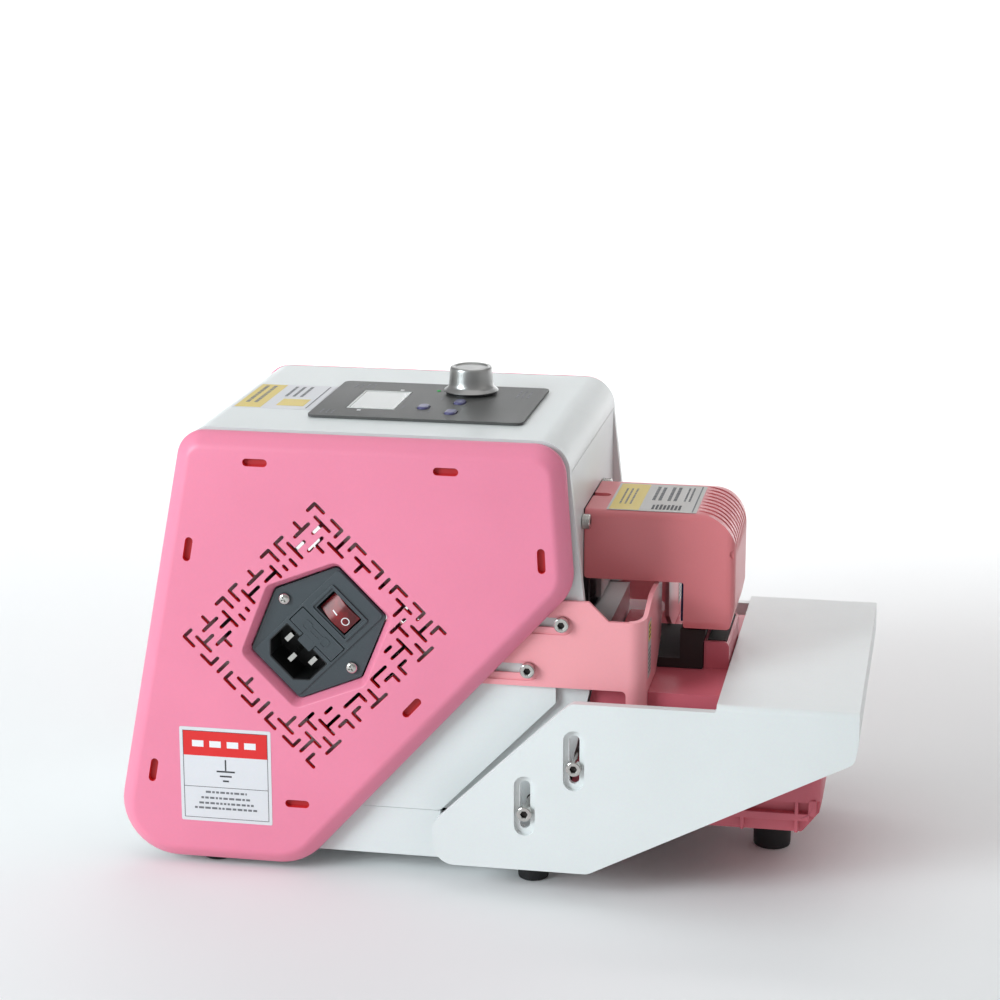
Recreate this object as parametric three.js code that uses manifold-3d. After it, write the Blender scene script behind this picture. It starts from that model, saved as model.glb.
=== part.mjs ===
// Electric table-top die cutting press: a C-frame press with a solenoid drive inside a white case, pink side
// covers, a pink arm and bed, two sliding back gauges and a height-adjustable table.
//
// Millimetres. +X is the front (towards the table), +Y is the right-hand side, +Z is up.
// The origin is on the floor, below the middle of the machine's box.

import * as THREE from 'three';
import { mergeVertices } from 'three/addons/utils/BufferGeometryUtils.js';
import Module from 'manifold-3d';

const wasm = await Module();
wasm.setup();

// ---- Driving dimensions ----

const GAP = 0.3; // clearance between pieces that touch
const WALL = 2.4; // moulded wall thickness

// White case
const CASE_HALF_WIDTH = 64;
const CASE_TOP = 192;
const CASE_FRONT = 36.4;
const PAN_BOTTOM = 9;
const PAN_TOP = 30;
const STEP_FRONT = 31; // the step's upper end, at the case's lower front
const STEP_TOP = 81;
const STEP_REAR = -18; // the step's lower end, on the pan
const REAR_SLOPE = 0.189; // the rear leans forward by this much per unit of height
const REAR_AT_TOP = -122.5;

// Side covers
const COVER_FACE = 74; // distance of the flat face from the middle plane
const COVER_RIM = 66.8; // the rim's edge stands off the case, so that the gauge slides behind it
const COVER_INSET = 7.3; // width of the chamfer around the face
const COVER_BOTTOM = 3.5;
const COVER_REAR = -161.38;

// Mains inlet, turned 45 degrees on the left cover
const INLET = { x: -68, z: 107.4, turn: Math.PI / 4, face: 69.6 };

// Arm and head
const ARM_HALF_WIDTH = 26.5;
const ARM_TOP = 154.2;
const ARM_BOTTOM = 124.5;
const HEAD_REAR = 78.9;
const HEAD_FRONT = 100.4;
const HEAD_BOTTOM = 104.5;

// Drive: pivot, ram and solenoid axes
const PIVOT = { x: 50, z: 139 };
const RAM_X = 92.5;
const SOLENOID_X = -10;
const FRAME_INNER = 18; // inner faces of the two frame plates
const FRAME_OUTER = 21;

// Bed
const BED_TOP = 86;
const BED_HALF_WIDTH = 57.5;
const BED_FRONT = 141;
const BED_BOTTOM = 28;
const PEDESTAL_TOP = 98;
const PEDESTAL_HALF_WIDTH = 22;

// Table
const TABLE_TOP = 89.3;
const TABLE_THICKNESS = 3;
const TABLE_HALF_WIDTH = 79;
const TABLE_WALL = 4;
const TABLE_FRONT = 156;
const CUTOUT_FRONT = 98.9;
const TABLE_SLOTS = [[41, 61.7, 58.4], [20.6, 40.7, 37.3]]; // x, slot's middle z, screw's z

// Back gauges, one on each side
const GAUGE_OUTER = 66.4;
const GAUGE_INNER = 64.5;
const GAUGE_FRONT = 68.3;
const GAUGE_SLOTS = [[33.9, 116.3], [19.9, 95.9]]; // screw's x and z, at the slots' front ends
const GAUGE_SLOT_LENGTH = 24.2;
const SLOT_WIDTH = 4.2;

// Control panel on the top
const PANEL = { x0: -79.3, x1: 12.4, y0: -40, y1: 29.5, top: 193.4 };
const KNOB = { x: -19.7, y: 14.3, bottom: 194, top: 205.4 };
const DISPLAY = { x0: -66, x1: -45.3, y0: -24, y1: 11 };
const BUTTONS = [[-33.9, -17.8], [-20.6, -6.1], [-20.6, -25.7]];

// ---- Geometry helpers ----

// A closed three.js geometry as a solid for cutting and joining.
function solid(geometry) {
  const bare = geometry.clone();
  for (const name of Object.keys(bare.attributes)) {
    if (name !== 'position') bare.deleteAttribute(name);
  }
  const merged = mergeVertices(bare, 1e-4);
  return new wasm.Manifold(new wasm.Mesh({
    numProp: 3,
    vertProperties: new Float32Array(merged.attributes.position.array),
    triVerts: new Uint32Array(merged.index.array),
  }));
}

// An outline from corners [a, b, radius], each rounded with an arc of the given number of steps.
function outline(corners, steps = 4) {
  const points = [];
  corners.forEach(([a, b, radius = 0], i) => {
    const here = new THREE.Vector2(a, b);
    if (!radius) {
      points.push(here);
      return;
    }
    const before = corners[(i + corners.length - 1) % corners.length];
    const after = corners[(i + 1) % corners.length];
    const back = new THREE.Vector2(before[0] - a, before[1] - b).normalize();
    const ahead = new THREE.Vector2(after[0] - a, after[1] - b).normalize();
    const half = Math.acos(back.dot(ahead)) / 2;
    const middle = back.clone().add(ahead).normalize();
    const centre = here.clone().addScaledVector(middle, radius / Math.sin(half));
    const start = here.clone().addScaledVector(back, radius / Math.tan(half)).sub(centre);
    const sweep = (Math.PI - 2 * half) * Math.sign(back.cross(ahead)) * -1;
    for (let k = 0; k <= steps; k += 1) {
      points.push(start.clone().rotateAround(new THREE.Vector2(), (sweep * k) / steps).add(centre));
    }
  });
  return points;
}

// Corners moved inwards by a distance, with their radii reduced to match.
function inset(corners, distance) {
  const turn = Math.sign(THREE.ShapeUtils.area(corners.map(([a, b]) => new THREE.Vector2(a, b))));
  return corners.map(([a, b, radius = 0], i) => {
    const before = corners[(i + corners.length - 1) % corners.length];
    const after = corners[(i + 1) % corners.length];
    const into = new THREE.Vector2(a - before[0], b - before[1]).normalize();
    const out = new THREE.Vector2(after[0] - a, after[1] - b).normalize();
    const normal = new THREE.Vector2(-into.y - out.y, into.x + out.x).normalize();
    const reach = (distance * turn) / (normal.x * -into.y + normal.y * into.x);
    return [a + normal.x * reach, b + normal.y * reach, Math.max(radius - distance, radius ? 0.8 : 0)];
  });
}

// A prism of an outline. Its axis is 'x' (outline in y, z), 'y' (outline in x, z) or 'z' (outline in x, y).
function prism(axis, points, from, to) {
  const shape = new THREE.Shape(points.map((p) => (p.isVector2 ? p : new THREE.Vector2(p[0], p[1]))));
  const geometry = new THREE.ExtrudeGeometry(shape, { depth: to - from, bevelEnabled: false });
  const [X, Y, Z] = [[1, 0, 0], [0, 1, 0], [0, 0, 1]].map((v) => new THREE.Vector3(...v));
  if (axis === 'z') geometry.translate(0, 0, from);
  if (axis === 'x') {
    geometry.applyMatrix4(new THREE.Matrix4().makeBasis(Y, Z, X)).translate(from, 0, 0);
  }
  if (axis === 'y') {
    geometry.applyMatrix4(new THREE.Matrix4().makeBasis(X, Z, Y.clone().negate())).translate(0, to, 0);
  }
  return solid(geometry);
}

function box(x0, x1, y0, y1, z0, z1) {
  const geometry = new THREE.BoxGeometry(x1 - x0, y1 - y0, z1 - z0);
  return solid(geometry.translate((x0 + x1) / 2, (y0 + y1) / 2, (z0 + z1) / 2));
}

function circle(a, b, radius, count = 20) {
  return Array.from({ length: count }, (_, i) => {
    const angle = ((i + 0.5) / count) * 2 * Math.PI;
    return new THREE.Vector2(a + radius * Math.cos(angle), b + radius * Math.sin(angle));
  });
}

function rod(axis, a, b, radius, from, to, count = 20) {
  return prism(axis, circle(a, b, radius, count), from, to);
}

// A slot outline with round ends, centred on (a, b), turned by an angle.
function slotOutline(a, b, length, width, angle = 0, steps = 4) {
  const r = width / 2;
  const h = length / 2;
  const corners = [[-h, -r, r * 0.999], [h, -r, r * 0.999], [h, r, r * 0.999], [-h, r, r * 0.999]];
  const centre = new THREE.Vector2();
  return outline(corners, steps).map((p) => p.rotateAround(centre, angle).add(new THREE.Vector2(a, b)));
}

// A closed body between rings with equal numbers of points, given from the least y to the greatest.
function loft(rings) {
  const count = rings[0].length;
  const positions = rings.flat().flatMap((p) => p.toArray());
  const index = [];
  for (let r = 0; r + 1 < rings.length; r += 1) {
    for (let i = 0; i < count; i += 1) {
      const a = r * count + i;
      const b = r * count + ((i + 1) % count);
      index.push(a, b + count, b, a, a + count, b + count);
    }
  }
  const flat = (ring) => ring.map((p) => new THREE.Vector2(p.x, p.z));
  const last = (rings.length - 1) * count;
  for (const [a, b, c] of THREE.ShapeUtils.triangulateShape(flat(rings[0]), [])) index.push(a, b, c);
  for (const [a, b, c] of THREE.ShapeUtils.triangulateShape(flat(rings.at(-1)), [])) {
    index.push(last + c, last + b, last + a);
  }
  const geometry = new THREE.BufferGeometry();
  geometry.setAttribute('position', new THREE.Float32BufferAttribute(positions, 3));
  geometry.setIndex(index);
  return solid(geometry);
}

// A ring of an (x, z) outline at one y.
const ringAt = (corners, y, steps) => outline(corners, steps).map((p) => new THREE.Vector3(p.x, y, p.y));

const join = (first, ...rest) => rest.reduce((body, other) => body.add(other), first);
const cut = (first, ...rest) => rest.reduce((body, other) => body.subtract(other), first);
const mirrorSides = (body) => body.mirror([0, 1, 0]);

// ---- The model and its materials ----

const machine = new THREE.Group();

const finish = {
  white: { color: 0xdfe3e3, roughness: 0.45, metalness: 0 },
  pink: { color: 0xef87a8, roughness: 0.4, metalness: 0 },
  salmon: { color: 0xf0969c, roughness: 0.4, metalness: 0 },
  slate: { color: 0x3a4148, roughness: 0.5, metalness: 0 },
  black: { color: 0x1d1f22, roughness: 0.6, metalness: 0 },
  graphite: { color: 0x55585c, roughness: 0.35, metalness: 0 },
  screen: { color: 0xb9bdbd, roughness: 0.25, metalness: 0 },
  violet: { color: 0x4b4a78, roughness: 0.4, metalness: 0 },
  red: { color: 0x8c1622, roughness: 0.2, metalness: 0 },
  aluminium: { color: 0xc8cacc, roughness: 0.3, metalness: 1 },
  steel: { color: 0xa8abae, roughness: 0.35, metalness: 1 },
  darkSteel: { color: 0x2b2f3d, roughness: 0.4, metalness: 0.6 },
  copper: { color: 0xa5552c, roughness: 0.4, metalness: 0.9 },
  board: { color: 0x1f5a3a, roughness: 0.5, metalness: 0 },
  rubber: { color: 0x1a1c1e, roughness: 0.8, metalness: 0 },
};

function place(name, body, material) {
  const { vertProperties, triVerts, numProp } = body.getMesh();
  const geometry = new THREE.BufferGeometry();
  const positions = new Float32Array((vertProperties.length / numProp) * 3);
  for (let i = 0; i < positions.length / 3; i += 1) {
    for (let k = 0; k < 3; k += 1) positions[3 * i + k] = vertProperties[numProp * i + k];
  }
  geometry.setAttribute('position', new THREE.BufferAttribute(positions, 3));
  geometry.setIndex(new THREE.BufferAttribute(new Uint32Array(triVerts), 1));
  geometry.computeVertexNormals();
  const mesh = new THREE.Mesh(geometry, new THREE.MeshStandardMaterial(finish[material]));
  mesh.name = name;
  machine.add(mesh);
}

// ---- Case ----

const rearAt = (z) => REAR_AT_TOP - (CASE_TOP - z) * REAR_SLOPE;

function basePan() {
  const half = CASE_HALF_WIDTH - 0.4;
  const frontHalf = half - 2;
  const frontEnd = 32.6;
  const floor = PAN_BOTTOM + 2.5;
  const rear = prism('y', outline([
    [-143, PAN_BOTTOM, 6], [STEP_REAR, PAN_BOTTOM], [STEP_REAR, PAN_TOP], [rearAt(PAN_TOP), PAN_TOP],
  ], 3), -half, half);
  const front = box(STEP_REAR - 1, frontEnd, -frontHalf, frontHalf, PAN_BOTTOM, PAN_TOP - 1.5);
  const rearHollow = prism('y', outline([
    [-141, floor, 4], [STEP_REAR - WALL, floor], [STEP_REAR - WALL, 50], [rearAt(50) + 3, 50],
  ], 3), WALL - half, half - WALL);
  const frontHollow = box(STEP_REAR - 5, frontEnd - WALL, WALL - frontHalf, frontHalf - WALL, floor, 50);
  const posts = [-132, -52].flatMap((x) => [-44, 44].map((y) => rod('z', x, y, 3, PAN_BOTTOM + 1, 35.7, 12)));
  return join(cut(join(rear, front), rearHollow, frontHollow), ...posts);
}

// The case's side outline, down to the pan and the step.
const caseCorners = [
  [rearAt(PAN_TOP + GAP), PAN_TOP + GAP],
  [STEP_REAR, PAN_TOP + GAP, 4],
  [STEP_FRONT, STEP_TOP],
  [STEP_FRONT, 93],
  [43.4, 100],
  [43, 120],
  [CASE_FRONT, 178],
  [CASE_FRONT, CASE_TOP, 13],
  [REAR_AT_TOP, CASE_TOP, 10],
];

// Holes for the screws that hold the gauges.
const gaugeScrewHoles = GAUGE_SLOTS.map(([x, z]) => rod('y', x, z, 2.1, -70, 70, 12));

function caseShell() {
  const half = CASE_HALF_WIDTH;
  const inner = half - WALL;
  const outer = prism('y', outline(caseCorners, 6), -half, half);
  const hollow = prism('y', outline([
    [rearAt(0) + WALL, 0],
    [STEP_FRONT + 40, 0],
    [STEP_FRONT + 40, 98.4],
    [CASE_FRONT - WALL, 98.4],
    [CASE_FRONT - WALL, CASE_TOP - WALL, 10.6],
    [REAR_AT_TOP + WALL, CASE_TOP - WALL, 7.6],
  ], 6), -inner, inner);
  const recess = box(CASE_FRONT - 5, 60, 4 - half, half - 4, 80, 179);
  const inletBody = [[-24.8, -14.4], [22.9, -14.4], [22.9, 14.4], [-24.8, 14.4]];
  const inletHole = prism('y', inletOutline(inletBody), -70, -50);
  const panelHoles = BUTTONS.map(([x, y]) => prism('z', slotOutlineFlat(x, y, 9, 5.6), 180, 200));
  const knobHole = rod('z', KNOB.x, KNOB.y, 4.2, 180, 200, 16);
  return cut(outer, hollow, recess, inletHole, ...panelHoles, knobHole, ...gaugeScrewHoles);
}

const slotOutlineFlat = (x, y, length, width) => slotOutline(x, y, length, width, Math.PI / 2);

function frontPanel() {
  const half = CASE_HALF_WIDTH - 4 - GAP;
  const plate = box(CASE_FRONT - WALL, CASE_FRONT, -half, half, 100, 178.7);
  const armHole = box(30, 50, -ARM_HALF_WIDTH - 0.4, ARM_HALF_WIDTH + 0.4, 90, ARM_TOP + 0.4);
  const screwHoles = ARM_SCREWS.map(([y, z]) => rod('x', y, z, 2.1, 30, 50, 12));
  return cut(plate, armHole, ...screwHoles);
}

// The set-back lower front of the case, in front of which the bed starts.
function frontChassis() {
  const half = CASE_HALF_WIDTH - WALL - 0.4;
  const side = outline([
    [STEP_REAR + 0.5, PAN_TOP + 0.4], [32.6, PAN_TOP + 0.4], [44.6, BED_TOP], [44.6, 97.6], [34.8, 97.6],
    [STEP_REAR + 0.5, 46],
  ], 4);
  const hollow = outline([
    [STEP_REAR - 20, 0], [30.2, 0], [42.2, BED_TOP], [42.2, 95.2], [33.6, 95.2], [20, 120], [-60, 60],
  ], 4);
  const cavity = prism('y', hollow, WALL - half, half - WALL);
  const frameWay = box(20, 60, -FRAME_OUTER - 0.5, FRAME_OUTER + 0.5, 33, 63);
  const screwHole = rod('y', TABLE_SLOTS[1][0], TABLE_SLOTS[1][2], 2.1, -70, 70, 12);
  const topScrewHole = rod('y', TABLE_SLOTS[0][0], TABLE_SLOTS[0][2], 2.6, -70, 70, 12);
  return cut(prism('y', side, -half, half), cavity, frameWay, screwHole, topScrewHole);
}

// ---- Side covers ----

const coverCorners = [
  [COVER_REAR, COVER_BOTTOM, 24],
  [-76.4, COVER_BOTTOM, 25],
  [39.2, 131.7, 18],
  [34.5, 191.5, 13],
  [-125, 191.5, 12],
];

// Slots near the cover's edge: x, z and angle.
const edgeSlots = [
  [-92.4, 180, 0], [-12.8, 179.8, 0], [26.4, 144.4, 1.62], [-27.6, 78.6, 0.84], [-77.4, 32.7, 0],
  [-140.2, 43.7, 1.39], [-122, 141.9, 1.39],
];

// Rows of slots in a square ring turned 45 degrees about the inlet.
function ventSlots() {
  const slots = [];
  const rows = [29.4, 34.4, 39.4];
  for (let side = 0; side < 4; side += 1) {
    rows.forEach((row, r) => {
      for (const along of r === 1 ? [-28, -14, 0, 14, 28] : [-21, -7, 7, 21]) {
        const angle = INLET.turn + (side * Math.PI) / 2;
        const centre = new THREE.Vector2(along, row).rotateAround(new THREE.Vector2(), angle);
        slots.push([INLET.x + centre.x, INLET.z + centre.y, angle]);
      }
    });
  }
  return slots;
}

const rectangle = (a, b, length, width, angle) => [[-1, -1], [1, -1], [1, 1], [-1, 1]].map(([i, j]) => (
  new THREE.Vector2((i * length) / 2, (j * width) / 2)
    .rotateAround(new THREE.Vector2(), angle)
    .add(new THREE.Vector2(a, b))));

// The six-sided outline of the mains inlet's flange, grown by a margin, in the inlet's own axes.
const flangeCorners = (margin, radius) => [
  [26.4, 14.5], [0, 25.5], [-26.4, 14.5], [-26.4, -14.5], [0, -25.5], [26.4, -14.5],
].map(([u, v]) => {
  const length = Math.hypot(u, v);
  return [u * (1 + margin / length), v * (1 + margin / length), radius];
});

// Points in the inlet's own axes, turned onto the cover.
function inletOutline(corners, steps = 3) {
  return outline(corners, steps).map((p) => p
    .rotateAround(new THREE.Vector2(), INLET.turn)
    .add(new THREE.Vector2(INLET.x, INLET.z)));
}

function cover(withInlet) {
  const steps = 5;
  const skin = 2.2;
  const outer = loft([
    ringAt(inset(coverCorners, COVER_INSET), -COVER_FACE, steps),
    ringAt(inset(coverCorners, COVER_INSET * 0.42), -COVER_FACE + 2.2, steps),
    ringAt(coverCorners, -COVER_RIM - 1.5, steps),
    ringAt(coverCorners, -COVER_RIM, steps),
  ]);
  const inner = loft([
    ringAt(inset(coverCorners, COVER_INSET + 1.6), -COVER_FACE + skin, steps),
    ringAt(inset(coverCorners, skin), -COVER_RIM - 1.5, steps),
    ringAt(inset(coverCorners, skin), -COVER_RIM + 5, steps),
  ]);
  const posts = [[-118, 168], [-2, 168], [-134, 24], [-92, 24]].map(([x, z]) => (
    rod('y', x, z, 3.2, -COVER_FACE + 1, -CASE_HALF_WIDTH - GAP, 12)));
  const edges = edgeSlots.map(([x, z, angle]) => (
    prism('y', slotOutline(x, z, 10.5, 3.3, angle, 2), -80, -70)));
  const vents = ventSlots().map(([x, z, angle]) => prism('y', rectangle(x, z, 9.5, 1.8, angle), -80, -70));
  const shell = join(cut(outer, inner), ...posts);
  if (!withInlet) return cut(shell, ...edges, ...vents);
  const wayAt = (margin, y) => inletOutline(flangeCorners(margin, 3))
    .map((p) => new THREE.Vector3(p.x, y, p.y));
  const way = loft([wayAt(4, -COVER_FACE - 1), wayAt(0.5, -INLET.face + 0.6), wayAt(0.5, -50)]);
  const collar = prism('y', inletOutline(flangeCorners(5, 3)), -COVER_FACE + 1, -INLET.face + 2.2);
  return cut(join(shell, collar), way, ...edges, ...vents);
}

// ---- Mains inlet ----

const fuseBay = [[-5, -12.5], [3.7, -12.5], [3.7, 12.5], [-5, 12.5]];
const fuseTab = [[-8.6, -3], [-4.4, -3], [-4.4, 4], [-8.6, 4]];
const rockerBay = [[7.6, -8.3], [18.2, -8.3], [18.2, 8.3], [7.6, 8.3]];
const socketBay = [[-22.7, -7], [-17.5, -12], [-6.6, -12], [-6.6, 12], [-17.5, 12], [-22.7, 7]];
const PINS = { earth_pin: [-17.1, 0], live_pin: [-11.7, 7], neutral_pin: [-11.7, -7] };
const INLET_SCREWS = [20, -20];

function inletPoint(u, v) {
  return new THREE.Vector2(u, v).rotateAround(new THREE.Vector2(), INLET.turn)
    .add(new THREE.Vector2(INLET.x, INLET.z));
}

const bay = (corners, depth) => prism('y', inletOutline(corners), -INLET.face - 2, -INLET.face + depth);

function inletHousing() {
  const flange = prism('y', inletOutline(flangeCorners(0, 2)), -INLET.face, -INLET.face + 1.9);
  const bodyCorners = [[-24.2, -13.7], [22.3, -13.7], [22.3, 13.7], [-24.2, 13.7]];
  const body = prism('y', inletOutline(bodyCorners), -INLET.face + 1, -46);
  const screwHoles = INLET_SCREWS.map((v) => {
    const at = inletPoint(0, v);
    return rod('y', at.x, at.y, 1.6, -75, -60, 12);
  });
  const pinHoles = Object.values(PINS).map(([u, v]) => pinBlade(u, v, -60, -40, 0.3));
  const bays = [bay(fuseBay, 21), bay(rockerBay, 15), bay(socketBay, 17), bay(inset(fuseTab, -0.35), 1.6)];
  return cut(join(flange, body), ...bays, ...screwHoles, ...pinHoles);
}

function pinBlade(u, v, from, to, margin) {
  const at = inletPoint(u, v);
  const blade = rectangle(at.x, at.y, 2 + 2 * margin, 4 + 2 * margin, INLET.turn + Math.PI / 2);
  return prism('y', blade, from, to);
}

function fuseDrawer() {
  const face = inset(fuseBay, 0.35);
  const front = prism('y', inletOutline(face), -INLET.face - 0.4, -INLET.face + 2.4);
  const tray = prism('y', inletOutline(inset(fuseBay, 1.2)), -INLET.face + 2, -INLET.face + 20.4);
  const trayInside = [[-3, -10.4], [6, -10.4], [6, 10.4], [-3, 10.4]];
  const fuseSpace = prism('y', inletOutline(trayInside), -INLET.face + 5, -51);
  const grip = prism('y', inletOutline(fuseTab), -INLET.face - 0.4, -INLET.face + 1.2);
  return cut(join(front, tray, grip), fuseSpace);
}

// Rocker: its crest is in the middle, and the side marked O is pressed in.
function rockerSwitch() {
  const half = 7.6;
  const depth = 6;
  const profile = outline([
    [-half, 1.2], [0, -0.9], [half, 1.2], [half - 1.5, depth], [0, depth + 2], [1.5 - half, depth],
  ]);
  const key = prism('x', profile.map((p) => new THREE.Vector2(p.y, p.x)), 8, 17.8);
  const tilt = new THREE.Matrix4().makeRotationX(-0.14);
  const turn = new THREE.Matrix4().makeRotationY(-INLET.turn);
  const shift = new THREE.Matrix4().makeTranslation(INLET.x, -INLET.face, INLET.z);
  return key.transform(shift.multiply(turn).multiply(tilt).toArray());
}

// ---- Arm, head and drive ----

const ARM_SCREWS = [[-31, 150.3], [31, 150.3]];

function armCover() {
  const half = ARM_HALF_WIDTH;
  const corners = [
    [CASE_FRONT + GAP, ARM_BOTTOM], [HEAD_REAR, ARM_BOTTOM], [HEAD_REAR, HEAD_BOTTOM],
    [HEAD_FRONT - 2, HEAD_BOTTOM, 2], [HEAD_FRONT, 114], [HEAD_FRONT, ARM_TOP, 16],
    [CASE_FRONT + GAP, ARM_TOP],
  ];
  const outer = prism('y', outline(corners, 6), -half, half);
  const skin = 2.2;
  const hollow = prism('y', outline([
    [20, ARM_BOTTOM + skin], [HEAD_REAR - 4, ARM_BOTTOM + skin], [HEAD_REAR - 4, HEAD_BOTTOM + skin],
    [HEAD_FRONT - skin, HEAD_BOTTOM + skin], [HEAD_FRONT - skin, ARM_TOP - skin, 13.8], [20, ARM_TOP - skin],
  ], 6), skin - half, half - skin);
  const punchWay = box(89, 96, -18.3, 18.3, 90, 110);
  const topNotch = prism('z', slotOutline(40, -1, 14, 3.4), ARM_TOP - 1, ARM_TOP + 5);
  return cut(outer, hollow, punchWay, topNotch);
}

function framePlate() {
  const side = outline([
    [-34, 12], [28, 12], [28, 34], [126, 34], [126, 58], [32, 58, 4], [32, 127.8], [82, 127.8], [82, 108],
    [97, 108], [97, 150.6, 12.6], [-34, 150.6, 6],
  ], 3);
  const plate = prism('y', side, FRAME_INNER, FRAME_OUTER);
  return cut(plate, rod('y', PIVOT.x, PIVOT.z, 4.35, 10, 30));
}

function rockerLever() {
  const { x, z } = PIVOT;
  const bar = outline([
    [-17, z - 4, 2], [84, z - 4], [87, z - 1.3], [RAM_X, z - 1.3], [RAM_X, z + 1.3], [87, z + 1.3],
    [84, z + 4], [-17, z + 4, 2],
  ], 2);
  const boss = rod('y', x, z, 8.5, -3, 3, 24);
  const nose = rod('y', RAM_X, z, 1.8, -3, 3, 16);
  return cut(join(prism('y', bar, -3, 3), boss, nose), rod('y', x, z, 4.35, -10, 10));
}

function ram() {
  const shaft = rod('z', RAM_X, 0, 3.1, 107.2, 136);
  const head = box(87.6, 96.6, -6, 6, 134.6, 143.4);
  const way = box(80, 95.2, -3.4, 3.4, 136.8, 141.2);
  return cut(join(shaft, head), way);
}

function solenoidYoke() {
  const half = FRAME_INNER - 0.5;
  const outer = box(SOLENOID_X - 18, SOLENOID_X + 18, -half, half, 66, 112);
  const window = box(SOLENOID_X - 14, SOLENOID_X + 14, -30, 30, 70, 108);
  return cut(outer, window, rod('z', SOLENOID_X, 0, 5.9, 100, 120));
}

function solenoidPlunger() {
  const top = PIVOT.z - 4 - 0.4;
  const profile = [[0, 76], [5.4, 76], [5.4, top - 2], [4.2, top - 0.7], [2.4, top - 0.15], [0, top]];
  const turned = new THREE.LatheGeometry(profile.map(([r, z]) => new THREE.Vector2(r, z)), 20);
  return solid(turned.rotateX(Math.PI / 2)).translate([SOLENOID_X, 0, 0]);
}

// ---- Bed, die and table ----

function bedHousing() {
  const half = BED_HALF_WIDTH;
  const lowHalf = half - 3.5;
  const rimTop = 42;
  const upper = prism('y', outline([
    [36.4, rimTop], [45.3, BED_TOP], [98.2, BED_TOP], [98.2, 74.5], [BED_FRONT, 74.5, 4], [BED_FRONT, rimTop],
  ], 3), -half, half);
  const lower = prism('y', outline([
    [33.4, BED_BOTTOM], [36.5, rimTop + 0.1], [BED_FRONT, rimTop + 0.1], [BED_FRONT - 1, 37],
    [133, BED_BOTTOM],
  ], 3), -lowHalf, lowHalf);
  const hollow = prism('y', outline([
    [20, 0], [20, 60], [45.3 + WALL, BED_TOP - WALL], [98.2 - WALL, BED_TOP - WALL],
    [98.2 - WALL, 74.5 - WALL], [BED_FRONT - WALL, 74.5 - WALL], [BED_FRONT - WALL, 38],
    [131, BED_BOTTOM + WALL], [100, BED_BOTTOM + WALL], [100, 0],
  ], 3), WALL - lowHalf, lowHalf - WALL);
  const pedestal = box(87.6, 98.2, -PEDESTAL_HALF_WIDTH, PEDESTAL_HALF_WIDTH, BED_TOP - 1, PEDESTAL_TOP);
  const postWay = box(89.8, 96, 2 - PEDESTAL_HALF_WIDTH, PEDESTAL_HALF_WIDTH - 2, 80, 95);
  const dieRecess = box(88.8, 97.1, -20.3, 20.3, 96.6, 110);
  const footBoss = rod('z', 117, 0, 9.5, 12, BED_BOTTOM + 1, 16);
  const screwHole = rod('y', TABLE_SLOTS[0][0], TABLE_SLOTS[0][2], 2.1, -70, 70, 12);
  return cut(join(cut(join(upper, lower), hollow), footBoss, pedestal), postWay, dieRecess, screwHole);
}

function throatBlock() {
  const plate = box(62, 87.2, -24, 24, BED_TOP + GAP, 90.5);
  const blockSide = [[77.6, 88], [87.2, 88], [87.2, 97], [88.2, 101], [88.2, 103.4], [77.6, 103.4]];
  return join(plate, prism('y', blockSide, -24, 24));
}

function table() {
  const low = TABLE_TOP - TABLE_THICKNESS;
  const wallCorners = [
    [36, 83, 4], [-18.6, 30, 8], [-17.5, 12.5, 9], [47, 12.5, 6], [154.5, 68, 4], [TABLE_FRONT, 76, 2],
    [TABLE_FRONT, TABLE_TOP], [CUTOUT_FRONT, TABLE_TOP], [CUTOUT_FRONT, low], [40, low, 4],
  ];
  const wall = prism('y', outline(wallCorners, 4), -TABLE_HALF_WIDTH, TABLE_WALL - TABLE_HALF_WIDTH);
  const pockets = TABLE_SLOTS.map(([x, z]) => (
    prism('y', slotOutline(x, z, 26, 8.8, Math.PI / 2), -90, 2.2 - TABLE_HALF_WIDTH)));
  const slots = TABLE_SLOTS.map(([x, z]) => (
    prism('y', slotOutline(x, z, 21, SLOT_WIDTH, Math.PI / 2), -90, -60)));
  const side = cut(wall, ...pockets, ...slots);
  const lip = 2.5;
  const top = box(CUTOUT_FRONT, TABLE_FRONT, -TABLE_HALF_WIDTH, TABLE_HALF_WIDTH, low, TABLE_TOP);
  const front = box(TABLE_FRONT - lip, TABLE_FRONT, -TABLE_HALF_WIDTH, TABLE_HALF_WIDTH, 76, low + 1);
  return join(top, front, side, mirrorSides(side));
}

// ---- Back gauges ----

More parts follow.
